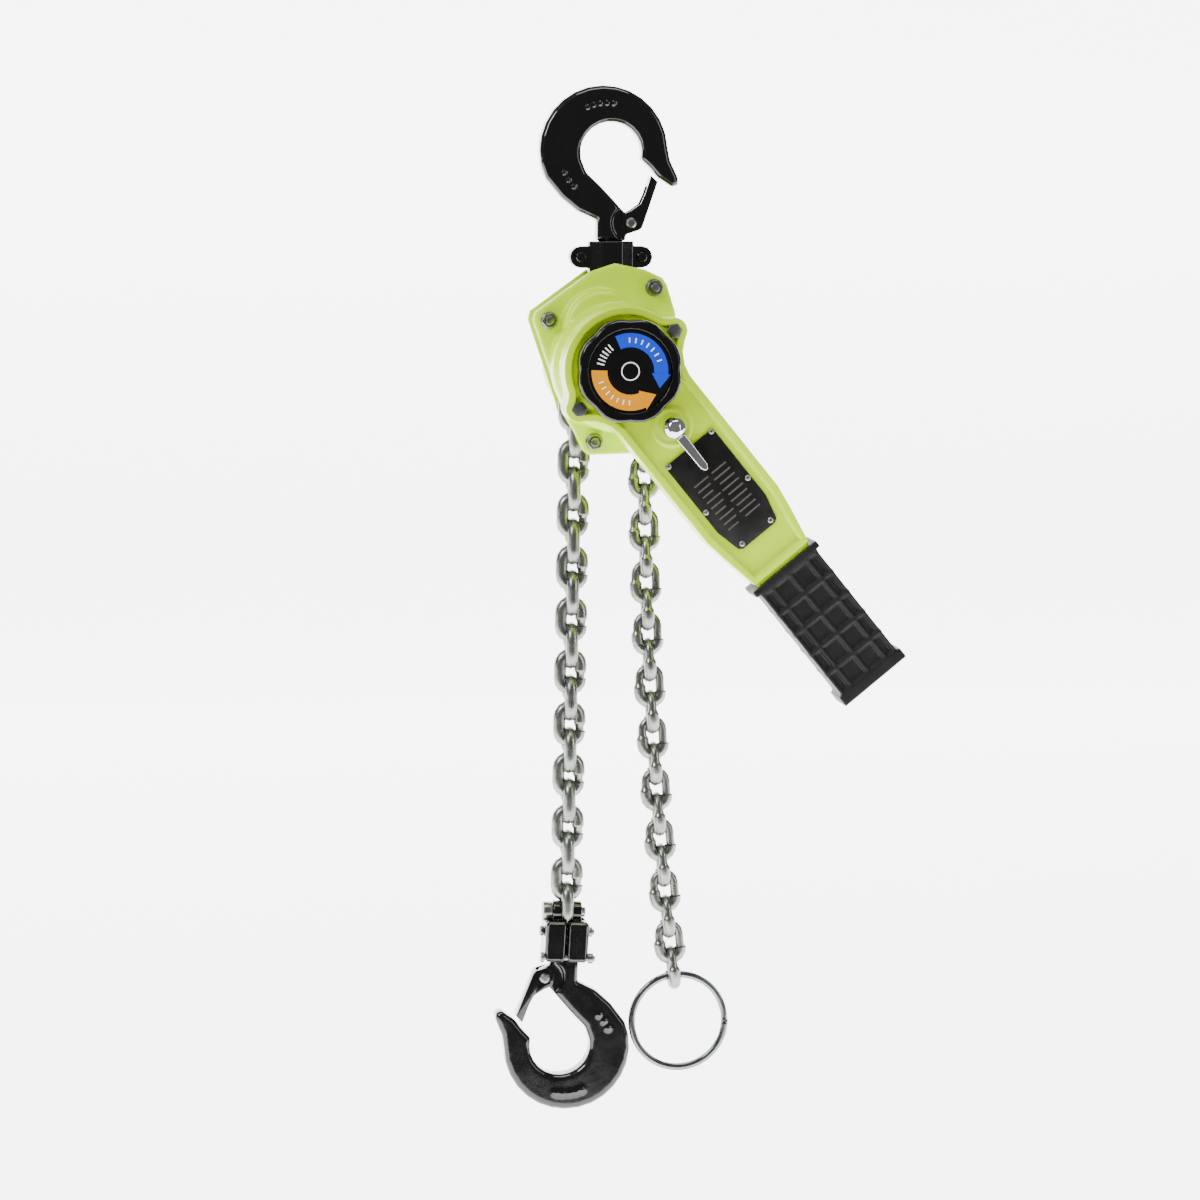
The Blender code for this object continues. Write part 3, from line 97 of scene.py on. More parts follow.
def plain_material(name):
    """A new material with only its output node."""
    material = bpy.data.materials.new(name)
    material.use_nodes = True
    material.node_tree.nodes.clear()
    return material


paper = plain_material("backdrop_paper")
paper_fibre = add(paper, "ShaderNodeTexNoise", {"Scale": 40.0, "Detail": 3.0})
paper_tone = add(paper, "ShaderNodeMix", {"Factor": paper_fibre.outputs["Fac"], "A": linear("#F6F6F5"),
                                          "B": linear("#FAFAFA")}, data_type="RGBA")
paper_face = add(paper, "ShaderNodeBsdfPrincipled", {"Base Color": paper_tone.outputs["Result"],
                                                     "Roughness": 0.9, "Emission Color": linear("#FFFFFF"),
                                                     "Emission Strength": 4.6})
add(paper, "ShaderNodeOutputMaterial", {"Surface": paper_face.outputs["BSDF"]})

FLOOR = cad_box[0][2] - 0.25
PAPER_HALF_W, PAPER_NEAR, PAPER_BEND, BEND_R, PAPER_RISE = 6.0, -0.9, 3.6, 0.8, 5.0
sweep = bmesh.new()
near = sweep.verts.new((-PAPER_HALF_W, PAPER_NEAR, FLOOR))
far = sweep.verts.new((-PAPER_HALF_W, PAPER_BEND, FLOOR))
sweep.edges.new((near, far))
bend = bmesh.ops.spin(sweep, geom=[far], cent=(-PAPER_HALF_W, PAPER_BEND, FLOOR + BEND_R),
                      axis=(1.0, 0.0, 0.0), angle=math.radians(90), steps=16, use_merge=False)
top = [v for v in bend["geom_last"] if isinstance(v, bmesh.types.BMVert)][0]
sweep.edges.new((top, sweep.verts.new((-PAPER_HALF_W, top.co.y, FLOOR + PAPER_RISE))))
wide = bmesh.ops.extrude_edge_only(sweep, edges=sweep.edges[:])
bmesh.ops.translate(sweep, vec=(2 * PAPER_HALF_W, 0.0, 0.0),
                    verts=[v for v in wide["geom"] if isinstance(v, bmesh.types.BMVert)])
bmesh.ops.remove_doubles(sweep, verts=sweep.verts, dist=1e-5)
bmesh.ops.recalc_face_normals(sweep, faces=sweep.faces)
backdrop_mesh = bpy.data.meshes.new("backdrop")
sweep.to_mesh(backdrop_mesh)
sweep.free()
backdrop_mesh.shade_smooth()
backdrop_mesh.materials.append(paper)
backdrop = bpy.data.objects.new("backdrop", backdrop_mesh)
scene.collection.objects.link(backdrop)

world = bpy.data.worlds.new("studio")
world.use_nodes = True
world.node_tree.nodes["Background"].inputs["Color"].default_value = (1.0, 1.0, 1.0, 1.0)
world.node_tree.nodes["Background"].inputs["Strength"].default_value = 0.20
scene.world = world
for label, place, width, height, watts in (("key", (-1.7, -1.2, 1.1), 0.7, 1.0, 48.0),
                                           ("fill", (1.6, -1.3, 0.1), 0.35, 1.4, 13.0),
                                           ("top", (0.1, -0.5, 1.3), 1.2, 0.6, 15.0)):
    lamp = bpy.data.lights.new(label + "_box", "AREA")
    lamp.shape, lamp.size, lamp.size_y, lamp.energy = "RECTANGLE", width, height, watts
    softbox = bpy.data.objects.new(label + "_box", lamp)
    softbox.location = place
    softbox.rotation_euler = (CAMERA_TARGET - softbox.location).to_track_quat("-Z", "Y").to_euler()
    scene.collection.objects.link(softbox)


# ---- Hooks, latches and their rivets ----
# Drop-forged steel hooks with flat sides and rounded edges, dipped in gloss black stoving enamel.
# Each has a sprung latch folded from sheet, on a zinc-plated rivet through the hook.
def finish(name, light, dark, patch, grain, dent, rough, metal=0.0, lacquer=0.0, shine=0.5):
    """A surface: two close tones in patches, and a fine grain dented by a depth, all in mm.

    rough is the lowest and highest roughness, lacquer the weight of the clear top coat, and shine
    how much a finish that isn't metal reflects.
    """
    material = plain_material(name)
    place = add(material, "ShaderNodeTexCoord", {}).outputs["Object"]
    patches = add(material, "ShaderNodeTexNoise", {"Vector": place, "Scale": 1000.0 / patch, "Detail": 4.0})
    fine = add(material, "ShaderNodeTexNoise", {"Vector": place, "Scale": 1000.0 / grain, "Detail": 2.0})
    tone = add(material, "ShaderNodeMix", {"Factor": patches.outputs["Fac"], "A": linear(light),
                                           "B": linear(dark)}, data_type="RGBA")
    wear = add(material, "ShaderNodeMapRange", {"Value": patches.outputs["Fac"], "From Min": 0.3,
                                                "From Max": 0.7, "To Min": rough[0], "To Max": rough[1]})
    dents = add(material, "ShaderNodeBump", {"Height": fine.outputs["Fac"], "Strength": 0.6,
                                             "Distance": dent / 1000.0})
    face = add(material, "ShaderNodeBsdfPrincipled",
               {"Base Color": tone.outputs["Result"], "Roughness": wear.outputs["Result"],
                "Normal": dents.outputs["Normal"], "Metallic": metal, "Coat Weight": lacquer,
                "Coat Roughness": 0.06, "Specular IOR Level": shine})
    add(material, "ShaderNodeOutputMaterial", {"Surface": face.outputs["BSDF"]})
    return material


# Stoving enamel over a scaled forging: deep black, with slow waves that break up the highlights.
black_enamel = finish("black_stoving_enamel", "#030303", "#060606", 14.0, 4.5, 0.10, (0.12, 0.22),
                      lacquer=0.5, shine=0.4)
# Zinc plate: mid grey with cloudy patches and a slight tooth.
zinc_plate = finish("bright_zinc_plate", "#9A9D96", "#6C706A", 5.0, 0.8, 0.05, (0.24, 0.38), metal=1.0)


def piece_from(mesh, name, material, body, nodes):
    """Makes a mesh a finished piece that rides on a body and stands for CAD nodes."""
    mesh.materials.clear()
    mesh.materials.append(material)
    piece = bpy.data.objects.new(name, mesh)
    scene.collection.objects.link(piece)
    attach(piece, body)
    if nodes:
        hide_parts(*nodes)
    return piece


def rounded(name, nodes, voxel, rounds, extra=()):
    """A mesh of CAD nodes, and any extra solids, fused and worn round as a casting or pressing is.

    voxel is the grain of the new mesh in mm, and rounds how often its edges are eased.
    """
    blank = bmesh.new()
    for node in nodes:
        blank.from_mesh(frame["nodes"][node].data)
    bmesh.ops.remove_doubles(blank, verts=blank.verts, dist=1e-6)
    for solid in extra:
        blank.from_mesh(solid)
    mesh = bpy.data.meshes.new(name)
    blank.to_mesh(mesh)
    blank.free()
    worker = bpy.data.objects.new(name + "_blank", mesh)
    scene.collection.objects.link(worker)
    fuse = worker.modifiers.new("fuse", "REMESH")
    fuse.mode, fuse.voxel_size = "VOXEL", voxel / 1000.0
    ease = worker.modifiers.new("ease", "SMOOTH")
    ease.iterations = rounds
    made = bpy.data.meshes.new_from_object(worker.evaluated_get(bpy.context.evaluated_depsgraph_get()))
    bpy.data.objects.remove(worker, do_unlink=True)
    made.name = name
    made.shade_smooth()
    return made


def machined(name, nodes, chamfer):
    """A mesh of CAD nodes with every sharp edge broken by a small chamfer in mm."""
    blank = bmesh.new()
    for node in nodes:
        blank.from_mesh(frame["nodes"][node].data)
    bmesh.ops.remove_doubles(blank, verts=blank.verts, dist=1e-6)
    bmesh.ops.dissolve_limit(blank, angle_limit=math.radians(1.0), verts=blank.verts, edges=blank.edges)
    sharp = [e for e in blank.edges if e.is_manifold and e.calc_face_angle(0.0) > math.radians(32)]
    bmesh.ops.bevel(blank, geom=sharp, offset=chamfer / 1000.0, segments=2, affect="EDGES", profile=0.5,
                    material=-1, clamp_overlap=True)
    mesh = bpy.data.meshes.new(name)
    blank.to_mesh(mesh)
    blank.free()
    mesh.shade_smooth()
    mesh.set_sharp_from_angle(angle=math.radians(35))
    return mesh


# The load hook is the same forging turned half round and leaned with the block.
BLOCK_TILT = math.radians(3.3)
BLOCK_LINE = Vector((math.sin(BLOCK_TILT), 0.0, math.cos(BLOCK_TILT)))
load_saddle = Vector(next(m["pos_m"] for m in frame["record"]["mounts"] if m["name"] == "load_hook_saddle"))
hook_places = {
    "top": Matrix.Identity(4),
    "load": Matrix.Translation(load_saddle) @ Matrix((Vector((-BLOCK_LINE.z, 0.0, BLOCK_LINE.x)),
                                                      (0.0, 1.0, 0.0), -BLOCK_LINE)).transposed().to_4x4()}
# Small raised pips follow the middle of the hook's bow, on its front face.
PIP_R, PIP_BOW_R, PIP_BOW_X, PIP_BOW_Z, PIP_FACE = 0.0022, 0.0325, -0.0035, -0.0200, -0.0076
for end in ("top", "load"):
    pips = bmesh.new()
    for turn in map(math.radians, (82.0, 90.0, 98.0, 106.0, 114.0, 206.0, 216.0, 226.0)):
        pip = bmesh.ops.create_icosphere(pips, subdivisions=2, radius=PIP_R)["verts"]
        bmesh.ops.translate(pips, verts=pip, vec=(PIP_BOW_X + PIP_BOW_R * math.cos(turn), PIP_FACE,
                                                  PIP_BOW_Z + PIP_BOW_R * math.sin(turn)))
    pip_mesh = bpy.data.meshes.new("forging_pips")
    pips.to_mesh(pip_mesh)
    pips.free()
    pip_mesh.transform(hook_places[end])
    piece_from(rounded(f"forged_{end}_hook", [end + "_hook"], 0.7, 18, (pip_mesh,)), f"forged_{end}_hook",
               black_enamel, end + "_hook", [end + "_hook"])
    piece_from(machined(f"folded_{end}_latch", [end + "_latch"], 0.35), f"folded_{end}_latch",
               black_enamel, end + "_latch", [end + "_latch"])
    piece_from(rounded(f"{end}_latch_pin", [end + "_latch_rivet"], 0.35, 4), f"{end}_latch_pin",
               zinc_plate, end + "_hook", [end + "_latch_rivet"])

# ---- Yoke ----
# Two forged halves clamp the top hook's swivel and hang the body from its pin. They are enamelled
# black like the hooks, and two rivets through the ears hold them together.
for half in ("yoke_front", "yoke_rear"):
    piece_from(rounded("forged_" + half, [half], 0.5, 4), "forged_" + half, black_enamel, "yoke", [half])
for side in ("left", "right"):
    piece_from(rounded(f"yoke_{side}_rivet", ["yoke_rivet_" + side], 0.4, 4), f"yoke_{side}_rivet",
               black_enamel, "yoke", ["yoke_rivet_" + side])

# ---- Body: pressed covers, side plates, stays and nuts ----
# Lime enamel on deep-drawn steel covers, with the slight orange peel of a sprayed coat. Zinc-plated
# hex nuts with washers clamp the covers and plates on the stay bolts.
lime_enamel = finish("lime_stoving_enamel", "#CCEE00", "#C0E400", 40.0, 1.8, 0.06, (0.26, 0.36),
                     lacquer=0.25, shine=0.3)
for cover in ("brake_cover", "gear_cover"):
    piece_from(rounded("pressed_" + cover, [cover], 1.0, 6), "pressed_" + cover, lime_enamel,
               "frame", [cover])
for side_plate in ("side_plate_front", "side_plate_rear"):
    piece_from(machined("stamped_" + side_plate, [side_plate], 0.4), "stamped_" + side_plate, lime_enamel,
               "frame", [side_plate])
for fitting in ("stay_bolt_upper", "stay_bolt_left", "stay_bolt_right", "cover_stud", "nut_upper",
                "nut_left", "nut_stud"):
    piece_from(machined("plated_" + fitting, [fitting], 0.4), "plated_" + fitting, zinc_plate,
               "frame", [fitting])

# ---- Inside the body ----
# Gears, sheave, shafts, pawls and brake parts of turned and hobbed steel, with a ground sheen, and
# woven brake lining on the friction discs. They stay as they are cut and only get their finish.
ground_steel = finish("ground_steel", "#9DA0A2", "#7F8285", 6.0, 0.6, 0.03, (0.25, 0.40), metal=1.0)
brake_lining = finish("brake_lining", "#4A372A", "#382A21", 2.0, 0.5, 0.08, (0.80, 0.92))
STEEL_PARTS = ("suspension_pin", "chain_guide", "bearing_front", "bearing_rear", "load_sheave", "load_gear",
               "idler_gear_left", "idler_gear_right", "pinion_shaft", "brake_hub", "drive_cog",
               "ratchet_disc", "brake_pawl_upper", "brake_pawl_lower", "change_pawl")
LINED_PARTS = ("friction_disc_inner", "friction_disc_outer")
for material, nodes in ((ground_steel, STEEL_PARTS), (brake_lining, LINED_PARTS)):
    for node in nodes:
        frame["nodes"][node].data.materials.clear()
        frame["nodes"][node].data.materials.append(material)

# ---- Chain, 6 x 18 mm ----
# Welded links of zinc-plated wire, with the small swelling of the butt weld in the middle of one leg.
# Every other link stands face on. The strands break where the CAD chain is hinged.
PITCH, WIRE_R, HALF_W = 0.018, 0.003, 0.007
STEP, BREAK = 0.0181, 0.0173
AXIS = Vector((0.0, 0.0, -0.164))


def link_solid(weld_side):
    """One link in the XZ plane: a round wire spun round both bights, with its weld swelling."""
    link = bmesh.new()
    wire = bmesh.ops.create_circle(link, segments=12, radius=WIRE_R)["verts"]
    bmesh.ops.translate(link, verts=wire, vec=(HALF_W, 0.0, 0.0))
    ring = wire[:]
    high = PITCH / 2 + WIRE_R - HALF_W
    bmesh.ops.translate(link, verts=ring, vec=(0.0, 0.0, -high))
    stations = (0.30, 0.42, 0.5, 0.58, 0.70, 1.0)
    for leg, turn in ((1, 0.0), (-1, 180.0)):
        done = 0.0
        for share in stations:
            edges = [e for e in link.edges if e.verts[0] in ring and e.verts[1] in ring]
            made = bmesh.ops.extrude_edge_only(link, edges=edges)["geom"]
            ring = [v for v in made if isinstance(v, bmesh.types.BMVert)]
            bmesh.ops.translate(link, verts=ring, vec=(0.0, 0.0, leg * (share - done) * 2 * high))
            if leg == weld_side and 0.4 < share < 0.6:
                middle = Vector((leg * HALF_W, 0.0, ring[0].co.z))
                bmesh.ops.scale(link, verts=ring, vec=(1.13, 1.13, 1.0), space=Matrix.Translation(-middle))
            done = share
        edges = [e for e in link.edges if e.verts[0] in ring and e.verts[1] in ring]
        bent = bmesh.ops.spin(link, geom=edges, cent=(0.0, 0.0, leg * high), axis=(0.0, -1.0, 0.0),
                              angle=math.pi, steps=8, use_merge=False)
        ring = [v for v in bent["geom_last"] if isinstance(v, bmesh.types.BMVert)]
    bmesh.ops.remove_doubles(link, verts=link.verts, dist=1e-5)
    bmesh.ops.recalc_face_normals(link, faces=link.faces)
    mesh = bpy.data.meshes.new("link")
    link.to_mesh(mesh)
    link.free()
    return mesh


def hanging(start, leans, first_step):
    """Link centres (x, z, lean in degrees) down a strand from a start."""
    x, z, step = start[0], start[1], first_step
    centres = []
    for lean in leans:
        x, z = x - math.sin(math.radians(lean)) * step, z - math.cos(math.radians(lean)) * step
        centres.append((x, z, lean))
        step = STEP
    return centres


def chain_piece(name, node, body, centres, face_on_first, link):
    """A run of separate links; every other one is turned a quarter round its own line."""
    run = bmesh.new()
    for number, (x, z, lean) in enumerate(centres):
        copy = link.copy()
        if (number % 2 == 0) != face_on_first:
            copy.transform(Matrix.Rotation(math.pi / 2, 4, "Z"))
        copy.transform(Matrix.Translation((x, 0.0, z)) @ Matrix.Rotation(math.radians(lean), 4, "Y"))
        run.from_mesh(copy)
        bpy.data.meshes.remove(copy)
    mesh = bpy.data.meshes.new(name)
    run.to_mesh(mesh)
    run.free()
    mesh.shade_smooth()
    piece_from(mesh, name, zinc_plate, body, [node])


def on_wheel(radius, angle, shift=0.0):
    """A point round the drive axis, x and z."""
    turn = math.radians(angle)
    return radius * math.cos(turn) + shift, radius * math.sin(turn) + AXIS.z


WRAP_START, WRAP_LINKS, LEAD_LEAN, LOAD_LEAN, FREE_CURL = 32.0, 4, -1.0, 1.0, 0.31
BITE_R = PITCH / 2 / math.sin(math.radians(22.5))
free_leans = [-FREE_CURL * max(0, number - 3) for number in range(24)]
load_lead = hanging(on_wheel(BITE_R, WRAP_START + 45.0 * WRAP_LINKS - 22.5, -0.0012), [LEAD_LEAN], PITCH / 2)
free_lead = hanging(on_wheel(BITE_R, WRAP_START - 22.5), free_leans[:2], PITCH / 2)
over = []
for number in range(WRAP_LINKS):
    x, z = on_wheel(BITE_R * math.cos(math.radians(22.5)), WRAP_START + 45.0 * number)
    over.append((x, z, -(WRAP_START + 45.0 * number)))
load_link, free_link = link_solid(1), link_solid(-1)
chain_piece("links_on_sheave", "chain_on_sheave", "frame", free_lead[::-1] + over + load_lead, False,
            load_link)
for strand, lead, leans, runs, link in (("load", load_lead, [LOAD_LEAN] * 20, (7, 7, 6), load_link),
                                        ("free", free_lead, free_leans[2:], (8, 7, 7), free_link)):
    last, number = lead[-1], 0
    for part, (level, count) in enumerate(zip(("upper", "middle", "lower"), runs), 1):
        centres = hanging(last[:2], leans[number:number + count], BREAK)
        chain_piece(f"{strand}_links_{level}", f"{strand}_chain_{level}", f"{strand}_chain_{part}", centres,
                    number % 2 == 0, link)
        last, number = centres[-1], number + count

# ---- Pull ring ----
# A split ring of flattened spring wire in two touching turns, with a dull chrome plating. It hangs in
# the last link of the free strand.
ring_chrome = finish("ring_chrome", "#85888B", "#63666A", 6.0, 0.5, 0.01, (0.16, 0.26), metal=1.0)
ring_low, ring_high = (Vector(corner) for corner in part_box("pull_ring"))
ring_middle = (ring_low + ring_high) / 2
RING_R, RING_WIRE_R, WIRE_FLATTENING = 0.0327, 0.0011, 2.09
COIL_DEGREES, COIL_STEPS = 708, 128
coil = bmesh.new()
section = bmesh.ops.create_circle(coil, segments=10, radius=RING_WIRE_R, cap_ends=True)["verts"]
bmesh.ops.scale(coil, verts=section, vec=(WIRE_FLATTENING, 1.0, 1.0))
bmesh.ops.translate(coil, verts=section, vec=(RING_R, 0.0, 0.0))
bmesh.ops.translate(coil, verts=section, vec=ring_middle + Vector((0.0, -2 * RING_WIRE_R, 0.0)))
bmesh.ops.spin(coil, geom=coil.verts[:] + coil.edges[:] + coil.faces[:], cent=ring_middle,
               axis=(0.0, 1.0, 0.0), dvec=(0.0, 4 * RING_WIRE_R / COIL_STEPS, 0.0),
               angle=math.radians(COIL_DEGREES), steps=COIL_STEPS, use_merge=False)
bmesh.ops.remove_doubles(coil, verts=coil.verts, dist=1e-6)
bmesh.ops.recalc_face_normals(coil, faces=coil.faces)
coil_mesh = bpy.data.meshes.new("split_ring")
coil.to_mesh(coil_mesh)
coil.free()
coil_mesh.shade_smooth()
piece_from(coil_mesh, "split_ring", ring_chrome, "pull_ring", ["pull_ring"])

# ---- Load block ----
# Two forged halves clamp the load hook's swivel and carry the chain pin. Enamelled black, with
# zinc-plated bolts and nuts across them.
for side in ("left", "right"):
    piece_from(rounded(f"forged_block_{side}", ["load_block_" + side], 0.5, 5), f"forged_block_{side}",
               black_enamel, "load_block", ["load_block_" + side])
for fitting in ("chain_pin", "block_bolt_upper", "block_bolt_lower"):
    piece_from(machined("plated_" + fitting, [fitting], 0.35), "plated_" + fitting, zinc_plate,
               "load_block", [fitting])

# ---- Lever ----
# Two pressed shells in lime enamel, bolted at the head. A rolled bead follows the edge, and leaves the
# middle of the arm as a recessed panel. A ring is pressed round the selector's stem.
LEVER_TURN = math.radians(51.1)
ALONG = Vector((math.cos(LEVER_TURN), 0.0, -math.sin(LEVER_TURN)))
ACROSS = Vector((math.sin(LEVER_TURN), 0.0, math.cos(LEVER_TURN)))
LEVER_FRONT, LEVER_SPLIT = 0.0713, 0.0583
lever_place = Matrix.Translation(AXIS) @ Matrix((ALONG, ACROSS, (0.0, -1.0, 0.0))).transposed().to_4x4()


def in_mm(points):
    return [(a / 1000.0, b / 1000.0) for a, b in points]


def plate(work, points, low, high):
    """A flat plate from an outline in mm, between two heights in metres; returns its top face."""
    base = work.faces.new([work.verts.new((a, b, low)) for a, b in in_mm(points)])
    raised = bmesh.ops.extrude_face_region(work, geom=[base])["geom"]
    bmesh.ops.translate(work, verts=[v for v in raised if isinstance(v, bmesh.types.BMVert)],
                        vec=(0.0, 0.0, high - low))
    return [f for f in raised if isinstance(f, bmesh.types.BMFace)][0]


def settled(work, name, place):
    """Turns the working mesh into a mesh in its place, with its faces outwards."""
    bmesh.ops.recalc_face_normals(work, faces=work.faces)
    mesh = bpy.data.meshes.new(name)
    work.to_mesh(mesh)
    work.free()
    mesh.transform(place)
    return mesh


def bow(centre_b, radius, start, stop, steps):
    """Points on an arc round (0, centre_b), in mm and degrees."""
    turns = [math.radians(start + (stop - start) * step / steps) for step in range(steps + 1)]
    return [(radius * math.cos(turn), centre_b + radius * math.sin(turn)) for turn in turns]


upper_edge = (bow(0.0, 41.8, 175.0, 107.0, 12) + bow(41.0, 8.8, 160.0, 20.0, 12)
              + [(14.0, 37.0), (22.0, 32.4), (30.0, 30.6), (125.0, 30.6), (141.0, 28.2), (167.0, 23.4)])
lever_edge = upper_edge + [(a, -b) for a, b in reversed(upper_edge)]
BEAD_WIDTH = 0.0052
bead = bmesh.new()
bead_top = plate(bead, lever_edge, LEVER_FRONT - 0.0012, LEVER_FRONT + 0.0030)
bead_foot = [f for f in bead.faces if len(f.verts) == len(lever_edge) and f is not bead_top][0]
bmesh.ops.inset_region(bead, faces=[bead_top], thickness=BEAD_WIDTH, depth=0.0)
bmesh.ops.inset_region(bead, faces=[bead_foot], thickness=BEAD_WIDTH, depth=0.0)
bmesh.ops.bridge_loops(bead, edges=bead_top.edges[:] + bead_foot.edges[:])
bmesh.ops.delete(bead, geom=[bead_top, bead_foot], context="FACES_ONLY")
bead_mesh = settled(bead, "lever_bead", lever_place)
SELECTOR_ALONG, DISH_R = 0.049, 0.0122
dish = bmesh.new()
dish_wire = bmesh.ops.create_circle(dish, segments=10, radius=0.0016)["verts"]
bmesh.ops.rotate(dish, verts=dish_wire, cent=(0.0, 0.0, 0.0), matrix=Matrix.Rotation(math.pi / 2, 3, "X"))
bmesh.ops.translate(dish, verts=dish_wire, vec=(SELECTOR_ALONG + DISH_R, 0.0, LEVER_FRONT - 0.0004))
bmesh.ops.spin(dish, geom=dish.edges[:], cent=(SELECTOR_ALONG, 0.0, 0.0), axis=(0.0, 0.0, 1.0),
               angle=math.tau, steps=40, use_merge=True)
dish_mesh = settled(dish, "selector_dish", lever_place)
piece_from(rounded("pressed_lever_front", ["lever_front_shell"], 0.7, 5, (bead_mesh, dish_mesh)),
           "pressed_lever_front", lime_enamel, "lever", ["lever_front_shell"])
piece_from(rounded("pressed_lever_rear", ["lever_rear_shell"], 1.0, 5), "pressed_lever_rear", lime_enamel,
           "lever", ["lever_rear_shell"])
for fitting in ("lever_bolt_upper", "lever_bolt_lower"):
    piece_from(machined("plated_" + fitting, [fitting], 0.4), "plated_" + fitting, zinc_plate, "lever",
               [fitting])

# ---- Nameplate ----
# A thin black-printed sheet steel plate with rounded corners, held by six small dome rivets. It is
# blank but for rows of raised bars.
printed_plate = finish("black_printed_plate", "#0B0908", "#060505", 8.0, 0.7, 0.04, (0.34, 0.50),
                       shine=0.35)
piece_from(machined("rating_plate", ["nameplate"], 0.3), "rating_plate", printed_plate, "lever",
           ["nameplate"])
BARS_FROM, BAR_STEP = 0.090, 0.0046
bars = bmesh.new()
for row in range(9):
    for start, stop in ((-14.0, -2.0 - 1.5 * (row % 3)), (1.0 - 1.5 * (row % 2), 13.5)):
        bar = bmesh.ops.create_cube(bars, size=0.001)["verts"]
        bmesh.ops.scale(bars, verts=bar, vec=(1.1, stop - start, 0.5))
        bmesh.ops.translate(bars, verts=bar, vec=(BARS_FROM + BAR_STEP * row, (start + stop) / 2000.0,
                                                  LEVER_FRONT + 0.0011))
bar_print = finish("faint_raised_print", "#5A5550", "#4A4642", 4.0, 0.6, 0.02, (0.30, 0.42), shine=0.4)
piece_from(settled(bars, "plate_bars", lever_place), "plate_bars", bar_print, "lever", [])
rivets = bmesh.new()
PLATE_TOP = LEVER_FRONT + 0.001
for along, across in ((68.0, 18.5), (108.0, 18.2), (140.0, 12.4)):
    for side in (1, -1):
        dome = bmesh.ops.create_uvsphere(rivets, u_segments=16, v_segments=10, radius=0.0022)["verts"]
        bmesh.ops.scale(rivets, verts=dome, vec=(1.0, 1.0, 0.6))
        bmesh.ops.translate(rivets, verts=dome, vec=(along / 1000, side * across / 1000, PLATE_TOP))
rivet_mesh = settled(rivets, "plate_rivets", lever_place)
rivet_mesh.shade_smooth()
piece_from(rivet_mesh, "plate_rivets", zinc_plate, "lever", [])

# ---- Grip ----
# A black rubber sleeve moulded over the end of the lever, with a flange at each end and rows of square
# hollows between ribs on both faces.
moulded_rubber = finish("moulded_rubber", "#060707", "#040505", 12.0, 0.9, 0.10, (0.46, 0.60), shine=0.35)
sleeve = bmesh.new()
GRIP_MIDDLE, GRIP_HALF_T, FLANGE_HALF_T, RIB_HALF_T = LEVER_SPLIT, 0.0155, 0.0158, 0.0140
RIB_FROM, RIB_STEP, RIBS = 176.0, 17.6, 6
plate(sleeve, [(173.0, 24.0), (267.0, 24.0), (267.0, -24.0), (173.0, -24.0)],
      GRIP_MIDDLE - GRIP_HALF_T, GRIP_MIDDLE + GRIP_HALF_T)
for axis_line, cuts in (((1.0, 0.0, 0.0), [(RIB_FROM + RIB_STEP * step) / 1000.0 for step in range(RIBS)]),
                        ((0.0, 1.0, 0.0), [-0.0232, -0.0150, 0.0, 0.0150, 0.0232])):
    for reach in cuts:
        bmesh.ops.bisect_plane(sleeve, geom=sleeve.verts[:] + sleeve.edges[:] + sleeve.faces[:],
                               plane_co=Vector(axis_line) * reach, plane_no=axis_line)
bmesh.ops.recalc_face_normals(sleeve, faces=sleeve.faces)
cells = [f for f in sleeve.faces if abs(f.normal.z) > 0.9 and 0.176 < f.calc_center_median().x < 0.264
         and abs(f.calc_center_median().y) < 0.0232]
bmesh.ops.inset_individual(sleeve, faces=cells, thickness=0.0017, depth=0.0)
bmesh.ops.inset_individual(sleeve, faces=cells, thickness=0.0005, depth=-0.0024)
plate(sleeve, [(170.2, 27.6), (175.0, 27.6), (175.0, -27.6), (170.2, -27.6)],
      GRIP_MIDDLE - FLANGE_HALF_T, GRIP_MIDDLE + FLANGE_HALF_T)
plate(sleeve, [(264.0, 26.6), (271.6, 26.6), (271.6, -26.6), (264.0, -26.6)],
      GRIP_MIDDLE - FLANGE_HALF_T, GRIP_MIDDLE + FLANGE_HALF_T)
for rib in range(RIBS):
    reach = RIB_FROM + RIB_STEP * rib
    for side in (1, -1):
        plate(sleeve, [(reach - 1.4, side * 23.0), (reach + 1.4, side * 23.0), (reach + 1.4, side * 24.5),
                       (reach - 1.4, side * 24.5)], GRIP_MIDDLE - RIB_HALF_T, GRIP_MIDDLE + RIB_HALF_T)
sleeve_mesh = settled(sleeve, "grip_sleeve", lever_place)
piece_from(rounded("moulded_grip", [], 0.7, 3, (sleeve_mesh,)), "moulded_grip", moulded_rubber, "lever",
           ["grip"])

# ---- Selector ----
# A chrome-plated ball on a short stem with a flat pointer, turned to choose raising or lowering. Its
# plating is brighter and smoother than the ring's.
bright_chrome = finish("bright_chrome_plate", "#E6E7E8", "#DCDDDE", 30.0, 2.0, 0.01, (0.05, 0.09), metal=1.0)
piece_from(rounded("plated_selector", ["selector_knob"], 0.45, 6), "plated_selector", bright_chrome,
           "selector", ["selector_knob"])

